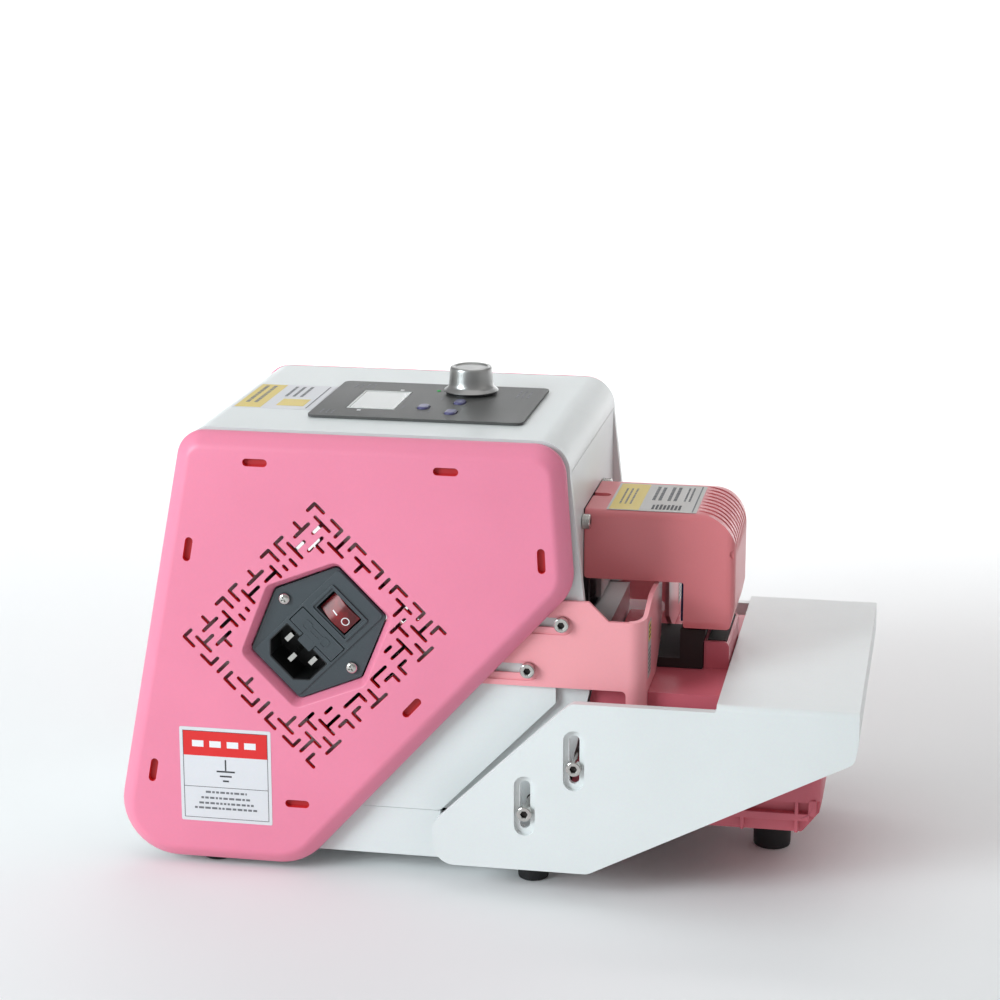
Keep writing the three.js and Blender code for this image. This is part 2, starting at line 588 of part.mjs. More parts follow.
// One side's gauge, on the left: a slotted side plate that turns a rounded corner into a stop under the arm.
function backGauge() {
  const thickness = GAUGE_OUTER - GAUGE_INNER;
  const rear = -14;
  const corner = GAUGE_FRONT - 7;
  const low = 80.6;
  const high = 124;
  const band = prism('z', outline([
    [rear, -GAUGE_OUTER], [GAUGE_FRONT, -GAUGE_OUTER, 7], [GAUGE_FRONT, -13.5],
    [GAUGE_FRONT - thickness, -13.5], [GAUGE_FRONT - thickness, -GAUGE_INNER, 7 - thickness],
    [rear, -GAUGE_INNER],
  ], 5), low, 126);
  const sideShape = prism('y', outline([
    [rear, 88.6], [60.4, 88.6, 2], [60.4, low], [corner, low], [corner, 117.9], [59.6, 117.9, 1.5],
    [53, 117.9], [44.8, 125.9], [33, 125.9], [rear, 100],
  ], 3), -70, -60);
  const stopShape = prism('x', [
    [-70, low], [-58, low], [-58, BED_TOP + 0.4], [-31, BED_TOP + 0.4], [-15, 97], [-10, 97], [-10, high - 1],
    [-42, high], [-66, 117.9], [-70, 117.9],
  ], corner, GAUGE_FRONT + 1);
  const slots = GAUGE_SLOTS.map(([x, z]) => {
    const middle = x - (GAUGE_SLOT_LENGTH - SLOT_WIDTH) / 2;
    return prism('y', slotOutline(middle, z, GAUGE_SLOT_LENGTH, SLOT_WIDTH, 0, 3), -70, -60);
  });
  return cut(join(band.intersect(sideShape), band.intersect(stopShape)), ...slots);
}

// ---- Fasteners and feet ----

// A socket head cap screw along +Y, with its head's outer face at y = 0 and the shank behind it.
function capScrew(headRadius, headLength, shankRadius, shankLength) {
  const head = rod('y', 0, 0, headRadius, 0, headLength, 16);
  const shank = rod('y', 0, 0, shankRadius, headLength - 0.1, headLength + shankLength, 10);
  const socket = rod('y', 0, 0, headRadius * 0.5, -1, headLength * 0.55, 6);
  return cut(join(head, shank), socket);
}

function sideScrews(name, spots, outerFace, screw) {
  spots.forEach(([x, z], i) => {
    const left = screw.translate([x, -outerFace, z]);
    place(`${name}_left_${i + 1}`, left, 'aluminium');
    place(`${name}_right_${i + 1}`, mirrorSides(left), 'aluminium');
  });
}

function foot(x, y, radius, top) {
  const profile = [[0, 0], [radius - 1.2, 0], [radius - 0.3, 1.2], [radius, top], [0, top]];
  const turned = new THREE.LatheGeometry(profile.map(([r, z]) => new THREE.Vector2(r, z)), 20);
  return solid(turned.rotateX(Math.PI / 2)).translate([x, y, 0]);
}

// ---- Controls ----

function controlPanel() {
  const { x0, x1, y0, y1, top } = PANEL;
  const sheet = outline([[x0, y0, 3], [x1, y0, 3], [x1, y1, 3], [x0, y1, 3]], 3);
  const plate = prism('z', sheet, CASE_TOP + GAP, top);
  const window = box(DISPLAY.x0 - GAP, DISPLAY.x1 + GAP, DISPLAY.y0 - GAP, DISPLAY.y1 + GAP, 190, 200);
  const holes = BUTTONS.map(([x, y]) => prism('z', slotOutlineFlat(x, y, 8.8, 5.4), 180, 200));
  return cut(plate, window, rod('z', KNOB.x, KNOB.y, 4.2, 180, 200, 16), ...holes);
}

function knob() {
  const { bottom, top } = KNOB;
  const profile = [
    [0, 187], [3, 187], [3, bottom + 0.1], [11.8, bottom], [11.8, bottom + 1], [9.7, bottom + 2.6],
    [9.2, top - 0.8], [8.6, top], [6.8, top], [6.4, top - 0.5], [0, top - 0.5],
  ];
  const turned = new THREE.LatheGeometry(profile.map(([r, z]) => new THREE.Vector2(r, z)), 28);
  return solid(turned.rotateX(Math.PI / 2)).translate([KNOB.x, KNOB.y, 0]);
}

function controlBoard() {
  const plate = box(-76, 9, -38, 27, 181, 182.6);
  const encoderBody = box(KNOB.x - 6, KNOB.x + 6, KNOB.y - 6, KNOB.y + 6, 182, 188);
  const encoder = cut(encoderBody, rod('z', KNOB.x, KNOB.y, 3.5, 186.4, 190));
  const keys = BUTTONS.map(([x, y]) => box(x - 2.5, x + 2.5, y - 2.5, y + 2.5, 182, 188));
  return join(plate, encoder, ...keys);
}

function powerBoard() {
  const plate = box(-138, -46, -50, 50, 36, 37.6);
  const transformer = box(-120, -88, -20, 16, 37, 64);
  const capacitors = [[-66, -30], [-66, -10]].map(([x, y]) => rod('z', x, y, 8, 37, 62, 16));
  const heatSink = box(-80, -54, 22, 30, 37, 68);
  return join(plate, transformer, ...capacitors, heatSink);
}

// ---- Assembly ----

place('base_pan', basePan(), 'white');
place('case_shell', caseShell(), 'white');
place('front_chassis', frontChassis(), 'white');
place('front_panel', frontPanel(), 'white');
place('left_cover', cover(true), 'pink');
place('right_cover', mirrorSides(cover(false)), 'pink');

place('inlet_housing', inletHousing(), 'slate');
place('rocker_switch', rockerSwitch(), 'red');
place('fuse_drawer', fuseDrawer(), 'slate');
for (const [name, [u, v]] of Object.entries(PINS)) place(name, pinBlade(u, v, -67, -42, 0), 'steel');
INLET_SCREWS.forEach((v, i) => {
  const at = inletPoint(0, v);
  const screw = capScrew(2.5, 1.4, 1.3, 3.4).translate([at.x, -INLET.face - 1.4 - GAP, at.y]);
  place(`inlet_screw_${i + 1}`, screw, 'aluminium');
});

place('arm_cover', armCover(), 'salmon');
place('frame_plate_right', framePlate(), 'steel');
place('frame_plate_left', mirrorSides(framePlate()), 'steel');
place('head_back_plate', box(77.7, 80.6, -24, 24, 107, 125.6), 'darkSteel');
place('ram_guide', cut(box(84.6, 97, -17.6, 17.6, 108.4, 122), rod('z', RAM_X, 0, 3.5, 100, 130)), 'steel');
place('ram', ram(), 'steel');
place('punch_blade', box(90, 95, -17.6, 17.6, 103.4, 106.9), 'steel');
place('return_spring', cut(rod('z', RAM_X, 0, 4.9, 122.3, 134.3), rod('z', RAM_X, 0, 3.6, 120, 140)), 'steel');
place('rocker_lever', rockerLever(), 'steel');
place('pivot_shaft', rod('y', PIVOT.x, PIVOT.z, 4, -23.6, 23.6), 'steel');
const spacer = cut(rod('y', PIVOT.x, PIVOT.z, 7, 3.4, 17.6), rod('y', PIVOT.x, PIVOT.z, 4.35, 0, 20));
place('lever_spacer_right', spacer, 'aluminium');
place('lever_spacer_left', mirrorSides(spacer), 'aluminium');
place('solenoid_yoke', solenoidYoke(), 'steel');
const coilCore = rod('z', SOLENOID_X, 0, 6, 60, 120, 24);
place('solenoid_coil', cut(rod('z', SOLENOID_X, 0, 13.4, 70.4, 107.6, 24), coilCore), 'copper');
place('solenoid_plunger', solenoidPlunger(), 'steel');

place('bed_housing', bedHousing(), 'pink');
place('anvil_post', box(90.2, 95.6, -17.4, 17.4, 58.4, 94.6), 'steel');
place('die_insert', box(89.1, 96.8, -20, 20, 96.9, PEDESTAL_TOP + 0.2), 'steel');
place('throat_block', throatBlock(), 'black');
place('table', table(), 'white');
place('left_gauge', backGauge(), 'salmon');
place('right_gauge', mirrorSides(backGauge()), 'salmon');

place('control_panel', controlPanel(), 'graphite');
place('display', box(DISPLAY.x0, DISPLAY.x1, DISPLAY.y0, DISPLAY.y1, CASE_TOP + GAP, PANEL.top), 'screen');
place('knob', knob(), 'aluminium');
BUTTONS.forEach(([x, y], i) => {
  place(`button_${i + 1}`, prism('z', slotOutlineFlat(x, y, 8.1, 4.7), 189.2, PANEL.top + 0.8), 'violet');
});
place('control_board', controlBoard(), 'board');
place('power_board', powerBoard(), 'board');

sideScrews('gauge_screw', GAUGE_SLOTS, GAUGE_OUTER + 3.4, capScrew(3.1, 3.1, 1.7, 6));
const tableScrewSpots = TABLE_SLOTS.map(([x, , z]) => [x, z]);
sideScrews('table_screw', tableScrewSpots, TABLE_HALF_WIDTH + 1, capScrew(3.2, 2.9, 1.7, 22));
ARM_SCREWS.forEach(([y, z], i) => {
  const screw = capScrew(3.2, 3.4, 1.7, 6).rotate([0, 0, 90]).translate([CASE_FRONT + 3.4 + GAP, y, z]);
  place(`arm_screw_${i + 1}`, screw, 'aluminium');
});

for (const [side, sign] of [['left', -1], ['right', 1]]) {
  place(`rear_foot_${side}`, foot(-117.6, sign * 57, 6.7, PAN_BOTTOM - GAP), 'rubber');
  place(`middle_foot_${side}`, foot(20.4, sign * 55, 6.7, PAN_BOTTOM - GAP), 'rubber');
}
place('front_foot', foot(117, 0, 8.3, 12 - GAP), 'rubber');

export default machine;
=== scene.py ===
"""Electric table-top die cutting press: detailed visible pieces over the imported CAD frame.

Lengths in the tables below are in millimetres, as in the CAD source. The helpers turn them into metres.
"""
import math
import random

import bmesh
import bpy
from mathutils import Matrix, Vector


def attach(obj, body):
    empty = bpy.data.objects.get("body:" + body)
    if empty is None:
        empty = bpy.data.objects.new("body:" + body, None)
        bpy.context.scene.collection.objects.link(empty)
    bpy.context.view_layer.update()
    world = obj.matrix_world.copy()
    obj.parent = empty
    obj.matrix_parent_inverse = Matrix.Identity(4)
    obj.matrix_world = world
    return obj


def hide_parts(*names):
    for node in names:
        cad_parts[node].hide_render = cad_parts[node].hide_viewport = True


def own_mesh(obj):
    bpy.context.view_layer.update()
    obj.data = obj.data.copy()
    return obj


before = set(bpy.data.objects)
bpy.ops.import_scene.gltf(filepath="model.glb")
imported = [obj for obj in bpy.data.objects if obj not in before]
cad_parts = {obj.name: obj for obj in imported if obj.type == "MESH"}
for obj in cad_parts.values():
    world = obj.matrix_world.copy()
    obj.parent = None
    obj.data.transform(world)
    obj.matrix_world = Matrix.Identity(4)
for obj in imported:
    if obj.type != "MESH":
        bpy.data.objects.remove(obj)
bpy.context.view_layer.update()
MM = 0.001
QUARTER = math.pi / 4

# ---- Outlines, repeated from the CAD source. The cover's rear foot corner is 0.35 mm further in,
# because its finer arc reaches further out. ----

COVER_RIM = 66.8  # the rim stands off the case, so that the gauge slides behind it
COVER = [(-161.03, 3.5, 24), (-76.4, 3.5, 25), (39.2, 131.7, 18), (34.5, 191.5, 13), (-125, 191.5, 12)]
COVER_SLOTS = [
    (-92.4, 180, 0), (-12.8, 179.8, 0), (26.4, 144.4, 1.62), (-27.6, 78.6, 0.84), (-77.4, 32.7, 0),
    (-140.2, 43.7, 1.39), (-122, 141.9, 1.39),
]
INLET_X, INLET_Z, INLET_FACE = -68, 107.4, 69.6
FLANGE = [(26.4, 14.5), (0, 25.5), (-26.4, 14.5), (-26.4, -14.5), (0, -25.5), (26.4, -14.5)]
TABLE_SLOTS = [(41, 61.7, 58.4), (20.6, 40.7, 37.3)]
GAUGE_SLOTS = [(33.9, 116.3), (19.9, 95.9)]
RAM_X = 92.5
KNOB_AT = (-19.7, 14.3)
KEYS_AT = ((-33.9, -17.8), (-20.6, -6.1), (-20.6, -25.7))
SIDES = (("left", -1), ("right", 1))


# ---- Mesh helpers ----

def outline(corners, steps=10):
    """Points of a closed outline. A corner is (a, b) or (a, b, radius)."""
    points = []
    for i, corner in enumerate(corners):
        here = Vector(corner[:2])
        radius = corner[2] if len(corner) > 2 else 0
        if not radius:
            points.append(here)
            continue
        back = (Vector(corners[i - 1][:2]) - here).normalized()
        ahead = (Vector(corners[(i + 1) % len(corners)][:2]) - here).normalized()
        half = back.angle(ahead) / 2
        centre = here + (back + ahead).normalized() * (radius / math.sin(half))
        start = here + back * (radius / math.tan(half)) - centre
        turn = back.x * ahead.y - back.y * ahead.x
        sweep = (math.pi - 2 * half) * (-1 if turn > 0 else 1)
        for k in range(steps + 1):
            points.append(centre + Matrix.Rotation(sweep * k / steps, 2) @ start)
    return points


def inset(corners, distance):
    """Corners moved inwards by a distance, with their radii reduced to match."""
    area = sum(
        a[0] * b[1] - b[0] * a[1] for a, b in zip(corners, corners[1:] + corners[:1]))
    turn = 1 if area > 0 else -1
    moved = []
    for i, corner in enumerate(corners):
        here = Vector(corner[:2])
        into = (here - Vector(corners[i - 1][:2])).normalized()
        out = (Vector(corners[(i + 1) % len(corners)][:2]) - here).normalized()
        normal = Vector((-into.y - out.y, into.x + out.x)).normalized()
        reach = distance * turn / (normal.x * -into.y + normal.y * into.x)
        radius = corner[2] if len(corner) > 2 else 0
        moved.append((*(here + normal * reach), max(radius - distance, 0.8) if radius else 0))
    return moved


def on_inlet(points):
    """Points in the inlet's own axes, turned onto the cover."""
    turn = Matrix.Rotation(QUARTER, 2)
    return [turn @ Vector(p[:2]) + Vector((INLET_X, INLET_Z)) for p in points]


def stadium(a, b, length, width, angle=0.0, steps=6):
    """A slot's outline with round ends."""
    r = width / 2
    points = []
    for end in (1, -1):
        for k in range(steps + 1):
            t = -math.pi / 2 + math.pi * k / steps + (0 if end > 0 else math.pi)
            points.append(Vector((end * (length / 2 - r) + r * math.cos(t), r * math.sin(t))))
    turn = Matrix.Rotation(angle, 2)
    return [turn @ p + Vector((a, b)) for p in points]


def circle(a, b, radius, count=32):
    return [Vector((a + radius * math.cos(2 * math.pi * k / count),
                    b + radius * math.sin(2 * math.pi * k / count))) for k in range(count)]


def place3(axis, p, level):
    """A point of an outline at a level along an axis: x takes (y, z), y takes (x, z), z takes (x, y)."""
    if axis == "x":
        return Vector((level, p[0], p[1]))
    if axis == "y":
        return Vector((p[0], level, p[1]))
    return Vector((p[0], p[1], level))


def add_loft(bm, rings):
    """Rings of 3-D points with equal counts, joined by quads, with flat ends."""
    rows = [[bm.verts.new(p) for p in ring] for ring in rings]
    for low, high in zip(rows, rows[1:]):
        for i in range(len(low)):
            j = (i + 1) % len(low)
            bm.faces.new((low[i], low[j], high[j], high[i]))
    bm.faces.new(rows[0])
    bm.faces.new(rows[-1])


def mesh_object(name, build):
    """An object whose mesh is made by build(bmesh) in millimetres, stored in metres."""
    bm = bmesh.new()
    build(bm)
    bmesh.ops.scale(bm, vec=(MM, MM, MM), verts=bm.verts)
    bmesh.ops.recalc_face_normals(bm, faces=bm.faces)
    mesh = bpy.data.meshes.new(name)
    bm.to_mesh(mesh)
    bm.free()
    obj = bpy.data.objects.new(name, mesh)
    bpy.context.scene.collection.objects.link(obj)
    return obj


def prisms(name, axis, outlines, low, high):
    """Separate prisms of several outlines in one object."""
    def build(bm):
        for points in outlines:
            add_loft(bm, [[place3(axis, p, low) for p in points], [place3(axis, p, high) for p in points]])
    return mesh_object(name, build)


def prism(name, axis, points, low, high):
    return prisms(name, axis, [points], low, high)


def block(name, x, y, z):
    return prism(name, "z", [(x[0], y[0]), (x[1], y[0]), (x[1], y[1]), (x[0], y[1])], z[0], z[1])


def lathe(name, profile, at, axis="z", count=64):
    """A turned piece: profile is (radius, level) from one end to the other."""
    def build(bm):
        rings = []
        for radius, level in profile:
            rings.append([place3(axis, Vector(at) + p, level)
                          for p in circle(0, 0, max(radius, 0.001), count)])
        add_loft(bm, rings)
    return mesh_object(name, build)


def combine(base, others, operation):
    """base with the others cut from it, joined to it or intersected with it. The others are used up."""
    for other in others:
        step = base.modifiers.new("combine", "BOOLEAN")
        step.operation = operation
        step.object = other
        step.solver = "MANIFOLD"
    graph = bpy.context.evaluated_depsgraph_get()
    mesh = bpy.data.meshes.new_from_object(base.evaluated_get(graph))
    base.modifiers.clear()
    base.data = mesh
    for other in others:
        bpy.data.objects.remove(other)
    return base


def cut(base, *others):
    return combine(base, others, "DIFFERENCE")


def join(base, *others):
    return combine(base, others, "UNION")


def common(base, *others):
    return combine(base, others, "INTERSECT")


def soften(obj, width, segments=3, angle=32):
    """Rounds the sharp edges and smooths the shading between them."""
    obj.data.shade_smooth()
    obj.data.set_sharp_from_angle(angle=math.radians(angle))
    if width:
        bevel = obj.modifiers.new("edges", "BEVEL")
        bevel.width = width * MM
        bevel.segments = segments
        bevel.limit_method = "ANGLE"
        bevel.angle_limit = math.radians(angle)
        bevel.use_clamp_overlap = True
    even = obj.modifiers.new("even", "WEIGHTED_NORMAL")
    even.weight = 100
    even.keep_sharp = True
    return obj


def mirrored(obj, name):
    """A copy of a piece on the other side of the middle plane."""
    twin = obj.copy()
    twin.data = obj.data.copy()
    twin.name = name
    twin.data.transform(Matrix.Scale(-1, 4, (0, 1, 0)))
    twin.data.flip_normals()
    bpy.context.scene.collection.objects.link(twin)
    return twin


def finish(obj, body, material, replaces=(), edge=0.0, segments=3, angle=32):
    """Rounds, paints and attaches a piece."""
    soften(obj, edge, segments, angle)
    obj.data.materials.clear()
    obj.data.materials.append(material)
    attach(obj, body)
    if replaces:
        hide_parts(*replaces)
    return obj


# ---- Materials ----

def srgb(r, g, b):
    """A colour given in 0-255 display values, as linear values."""
    def linear(v):
        v /= 255
        return v / 12.92 if v <= 0.04045 else ((v + 0.055) / 1.055) ** 2.4
    return (linear(r), linear(g), linear(b), 1.0)


def shader(name):
    material = bpy.data.materials.new(name)
    material.use_nodes = True
    nodes = material.node_tree.nodes
    links = material.node_tree.links
    return material, nodes, links, nodes["Principled BSDF"]


def moulded(name, colour, rough=0.42, grain=900.0, bump=0.12, spread=0.035, coat=0.0, subsurface=0.0):
    """Moulded plastic: fine spark-eroded grain, faint cloudiness in colour and in gloss."""
    material, nodes, links, bsdf = shader(name)
    coords = nodes.new("ShaderNodeTexCoord")
    fine = nodes.new("ShaderNodeTexNoise")
    fine.inputs["Scale"].default_value = grain
    fine.inputs["Detail"].default_value = 3
    broad = nodes.new("ShaderNodeTexNoise")
    broad.inputs["Scale"].default_value = 14
    broad.inputs["Detail"].default_value = 4
    links.new(coords.outputs["Object"], fine.inputs["Vector"])
    links.new(coords.outputs["Object"], broad.inputs["Vector"])
    tint = nodes.new("ShaderNodeValToRGB")
    tint.color_ramp.elements[0].position = 0.3
    tint.color_ramp.elements[1].position = 0.7
    tint.color_ramp.elements[0].color = (*[c * (1 - spread) for c in colour[:3]], 1)
    tint.color_ramp.elements[1].color = (*[min(c * (1 + spread), 1) for c in colour[:3]], 1)
    links.new(broad.outputs["Fac"], tint.inputs["Fac"])
    speck = nodes.new("ShaderNodeMix")
    speck.data_type = "RGBA"
    speck.blend_type = "MULTIPLY"
    speck.inputs["Factor"].default_value = 0.06
    links.new(tint.outputs["Color"], speck.inputs[6])
    links.new(fine.outputs["Color"], speck.inputs[7])
    links.new(speck.outputs[2], bsdf.inputs["Base Color"])
    gloss = nodes.new("ShaderNodeMapRange")
    gloss.inputs["From Min"].default_value = 0.3
    gloss.inputs["From Max"].default_value = 0.7
    gloss.inputs["To Min"].default_value = rough - 0.05
    gloss.inputs["To Max"].default_value = rough + 0.05
    links.new(broad.outputs["Fac"], gloss.inputs["Value"])
    links.new(gloss.outputs["Result"], bsdf.inputs["Roughness"])
    relief = nodes.new("ShaderNodeBump")
    relief.inputs["Strength"].default_value = bump
    relief.inputs["Distance"].default_value = 0.0002
    links.new(fine.outputs["Fac"], relief.inputs["Height"])
    links.new(relief.outputs["Normal"], bsdf.inputs["Normal"])
    bsdf.inputs["IOR"].default_value = 1.5
    bsdf.inputs["Coat Weight"].default_value = coat
    bsdf.inputs["Coat Roughness"].default_value = 0.25
    if subsurface:
        bsdf.inputs["Subsurface Weight"].default_value = subsurface
        bsdf.inputs["Subsurface Scale"].default_value = 0.002
        bsdf.inputs["Subsurface Radius"].default_value = (1.0, 0.5, 0.4)
    return material


def metal(name, colour, rough=0.3, stretch=(1, 1, 40), scale=60.0, spread=0.12, bump=0.05):
    """Worked metal: streaks along the cutting direction in colour, gloss and relief."""
    material, nodes, links, bsdf = shader(name)
    coords = nodes.new("ShaderNodeTexCoord")
    mapping = nodes.new("ShaderNodeMapping")
    mapping.inputs["Scale"].default_value = stretch
    streaks = nodes.new("ShaderNodeTexNoise")
    streaks.inputs["Scale"].default_value = scale
    streaks.inputs["Detail"].default_value = 5
    links.new(coords.outputs["Object"], mapping.inputs["Vector"])
    links.new(mapping.outputs["Vector"], streaks.inputs["Vector"])
    tint = nodes.new("ShaderNodeValToRGB")
    tint.color_ramp.elements[0].color = (*[c * (1 - spread) for c in colour[:3]], 1)
    tint.color_ramp.elements[1].color = (*[min(c * (1 + spread), 1) for c in colour[:3]], 1)
    links.new(streaks.outputs["Fac"], tint.inputs["Fac"])
    links.new(tint.outputs["Color"], bsdf.inputs["Base Color"])
    gloss = nodes.new("ShaderNodeMapRange")
    gloss.inputs["To Min"].default_value = max(rough - 0.08, 0.05)
    gloss.inputs["To Max"].default_value = rough + 0.12
    links.new(streaks.outputs["Fac"], gloss.inputs["Value"])
    links.new(gloss.outputs["Result"], bsdf.inputs["Roughness"])
    relief = nodes.new("ShaderNodeBump")
    relief.inputs["Strength"].default_value = bump
    relief.inputs["Distance"].default_value = 0.0001
    links.new(streaks.outputs["Fac"], relief.inputs["Height"])
    links.new(relief.outputs["Normal"], bsdf.inputs["Normal"])
    bsdf.inputs["Metallic"].default_value = 1.0
    return material


WHITE = moulded("white_case", srgb(226, 230, 230), rough=0.36)
WHITE_SMOOTH = moulded("white_table", srgb(228, 231, 231), rough=0.34, bump=0.06)
PINK = moulded("pink_cover", srgb(238, 136, 165), rough=0.4, subsurface=0.08)
SALMON = moulded("salmon_arm", srgb(226, 128, 134), rough=0.34, subsurface=0.06)
GAUGE_PINK = moulded("salmon_gauge", srgb(247, 164, 172), rough=0.36, subsurface=0.06)
# Painted shade for the cut walls of the cover's vents and slots, red as from light passing through the
# plastic.
CUT_SHADE_RED = moulded("painted_cut_shade", srgb(232, 44, 50), rough=0.45, spread=0.1)
# Painted shade seen through the cover's edge slots.
SLOT_SHADE_RED = moulded("painted_slot_shade", srgb(182, 30, 38), rough=0.5, spread=0.1)
DARK_BLOCK = moulded("dark_block", srgb(34, 24, 23), rough=0.75, spread=0.08)
BED_PINK = moulded("pink_bed", srgb(205, 100, 114), rough=0.42, subsurface=0.06)
SLATE = moulded("slate_inlet", srgb(62, 70, 75), rough=0.4, grain=1400, bump=0.2, spread=0.08)
# Painted shade for the inside of the mains socket.
DARK = moulded("painted_socket_shade", srgb(22, 23, 24), rough=0.45, spread=0.15)
BLACK = moulded("black_nylon", srgb(30, 30, 32), rough=0.4, spread=0.15)
GRAPHITE = moulded("graphite_overlay", srgb(80, 80, 79), rough=0.46, grain=2500, bump=0.25, spread=0.06)
SCREEN = moulded("display_glass", srgb(168, 171, 168), rough=0.16, bump=0.01, spread=0.03, coat=0.6)
SCREEN_RIM = moulded("display_rim", srgb(214, 216, 214), rough=0.3, bump=0.02)
VIOLET = moulded("violet_key", srgb(84, 82, 128), rough=0.35, spread=0.08, coat=0.2)
RUBBER = moulded("foot_rubber", srgb(26, 26, 28), rough=0.62, grain=1600, bump=0.4, spread=0.15)
BOARD = moulded("circuit_board", srgb(24, 96, 62), rough=0.3, spread=0.12)
MARK_WHITE = moulded("mark_white", srgb(236, 236, 238), rough=0.4, bump=0.02)
MARK_GREY = moulded("mark_grey", srgb(112, 114, 118), rough=0.5, bump=0.02)
MARK_DARK = moulded("mark_dark", srgb(58, 58, 62), rough=0.5, bump=0.02)
MARK_RED = moulded("mark_red", srgb(222, 36, 36), rough=0.35, bump=0.02)
MARK_YELLOW = moulded("mark_yellow", srgb(226, 200, 92), rough=0.4, bump=0.02)
LABEL = moulded("label_paper", srgb(222, 222, 226), rough=0.45, bump=0.05, spread=0.02)
LABEL_GREY = moulded("label_film", srgb(196, 193, 190), rough=0.4, bump=0.05, spread=0.03)
GREEN = moulded("status_green", srgb(60, 190, 90), rough=0.3, bump=0.01)
CHROME = metal("screw_chrome", srgb(196, 194, 190), rough=0.2, stretch=(1, 1, 1), scale=500, spread=0.1)
STEEL = metal("plate_steel", srgb(150, 152, 156), rough=0.34, stretch=(30, 1, 1), scale=120)
DARK_STEEL = metal("blued_steel", srgb(34, 36, 58), rough=0.35, stretch=(1, 20, 1), scale=90)
# Dark steel as painted shade: inside the screws' hexagonal sockets and on the die insert under the head.
SHADE_STEEL = metal("painted_shade_steel", srgb(72, 68, 66), rough=0.5, scale=120)
ALUMINIUM = metal("turned_aluminium", srgb(178, 178, 177), rough=0.3, stretch=(1, 1, 60), scale=70,
                  spread=0.08)
COPPER = metal("copper_winding", srgb(190, 104, 64), rough=0.35, stretch=(1, 1, 30), scale=80)


def rocker_red():
    """Translucent red plastic, darker where it is thick."""
    material, nodes, links, bsdf = shader("red_rocker")
    coords = nodes.new("ShaderNodeTexCoord")
    cloud = nodes.new("ShaderNodeTexNoise")
    cloud.inputs["Scale"].default_value = 160
    cloud.inputs["Detail"].default_value = 3
    links.new(coords.outputs["Object"], cloud.inputs["Vector"])
    tint = nodes.new("ShaderNodeValToRGB")
    tint.color_ramp.elements[0].position = 0.35
    tint.color_ramp.elements[0].color = srgb(84, 6, 14)
    tint.color_ramp.elements[1].position = 0.7
    tint.color_ramp.elements[1].color = srgb(150, 16, 26)
    links.new(cloud.outputs["Fac"], tint.inputs["Fac"])
    links.new(tint.outputs["Color"], bsdf.inputs["Base Color"])
    bsdf.inputs["Roughness"].default_value = 0.4
    bsdf.inputs["Subsurface Weight"].default_value = 0.25
    bsdf.inputs["Subsurface Scale"].default_value = 0.002
    bsdf.inputs["Coat Weight"].default_value = 0.1
    bsdf.inputs["Coat Roughness"].default_value = 0.3
    return material


RED = rocker_red()


# ---- Side covers ----

def vent_glyphs():
    """The cover's pierced key pattern in the inlet's axes: T, L and I shapes as single bars.

    Gives two lists of bars (a, b, angle, length), so that the bars within one list never overlap.
    """
    first, second = [], []
    bar = 1.55

    def add(target, u0, v0, u1, v1):
        length = math.hypot(u1 - u0, v1 - v0) + bar
        target.append(((u0 + u1) / 2, (v0 + v1) / 2, math.atan2(v1 - v0, u1 - u0), length))

    def tee(u, v, du, dv, half=4.1, stem=5.6):
        add(first, u - dv * half, v + du * half, u + dv * half, v - du * half)
        add(second, u, v, u + du * stem, v + dv * stem)

    def ell(u, v, a, b):
        add(first, u, v, u + a, v)
        add(second, u, v, u, v + b)

    def pinwheel(u, v, turned):
        for side in (1, -1):
            if turned:
                tee(u, v + side * 8.1, 0, -side)
                tee(u + side * 4.2, v, side, 0, stem=7.6)
            else:
                tee(u + side * 8.3, v, -side, 0)
                tee(u, v + side * 4, 0, side, stem=4.4)

    pinwheel(-30.3, 29.7, False)
    pinwheel(28.2, 31.4, False)
    pinwheel(-29.4, -30.8, True)
    pinwheel(29.1, -28.3, True)
    for u, v, a, b in (
            (-42.5, 37.6, 4.2, -5.6), (-42.8, 21.4, 4.2, 5.6), (40.4, 39.6, -4.2, -5.2), (40.7, 24, -4, 5.8),
            (-17.7, 38, -4.2, -5.6), (-13.5, 38.2, 4.2, -5.6), (11.5, 39, -4.3, -5.8), (15.6, 39, 4.3, -5.8),
            (40.9, 16.1, -4, -5.6), (40.9, 0.3, -4, 5.8), (41, -8, -4, -5.6), (41.2, -23.7, -4, 5.8),
            (41.6, -31.8, -4.2, -3.8), (16.8, -32.8, 4, -4), (12.6, -33.2, -4.2, -3.8), (4.3, -29, 8.2, -4.2),
            (-4.3, -29.8, -8.6, -4), (-12.3, -34, 4, -4.2), (-16.6, -34.3, -4.2, -4.1),
            (-42.2, -35.4, 4.2, -4),
            (-42.2, -27, 4.1, 5.6), (-42.5, -10.9, 4.1, -5.6), (-42.7, -2.9, 4.2, 5.8),
            (-42.8, 13.1, 4.2, -5.8)):
        ell(u, v, a, b)
    for u, v, du, dv, half, stem in (
            (-9.3, 31, 1, 0, 3.4, 6.3), (-1.1, 34.6, 0, 1, 4.3, 3.8), (7.3, 30.6, -1, 0, 2.9, 6.2),
            (32.7, 20, 1, 0, 4, 8.2), (36.8, 8, -1, 0, 4, 4.4), (37, -16, -1, 0, 4, 5.8),
            (0, -37.6, 0, 1, 4.3, 6.2), (-38.2, -18.8, 1, 0, 4.1, 5.8), (-38.2, 5.3, 1, 0, 4.1, 4.2)):
        tee(u, v, du, dv, half, stem)
    for u0, v0, u1, v1 in (
            (-17.7, 28, -17.7, 25.4), (-13.5, 28.2, -13.5, 26.8), (11.5, 30, 11.5, 28),
            (15.6, 30, 15.6, 26.6),
            (35, -3.8, 40.6, -3.8), (17.2, -24.4, 20.4, -24.4), (-21, -26.2, -17.6, -26.2),
            (-42.4, -6.8, -36.2, -6.8),
            (-42.8, 17.2, -36.6, 17.2)):
        add(first, u0, v0, u1, v1)
    return first, second, bar


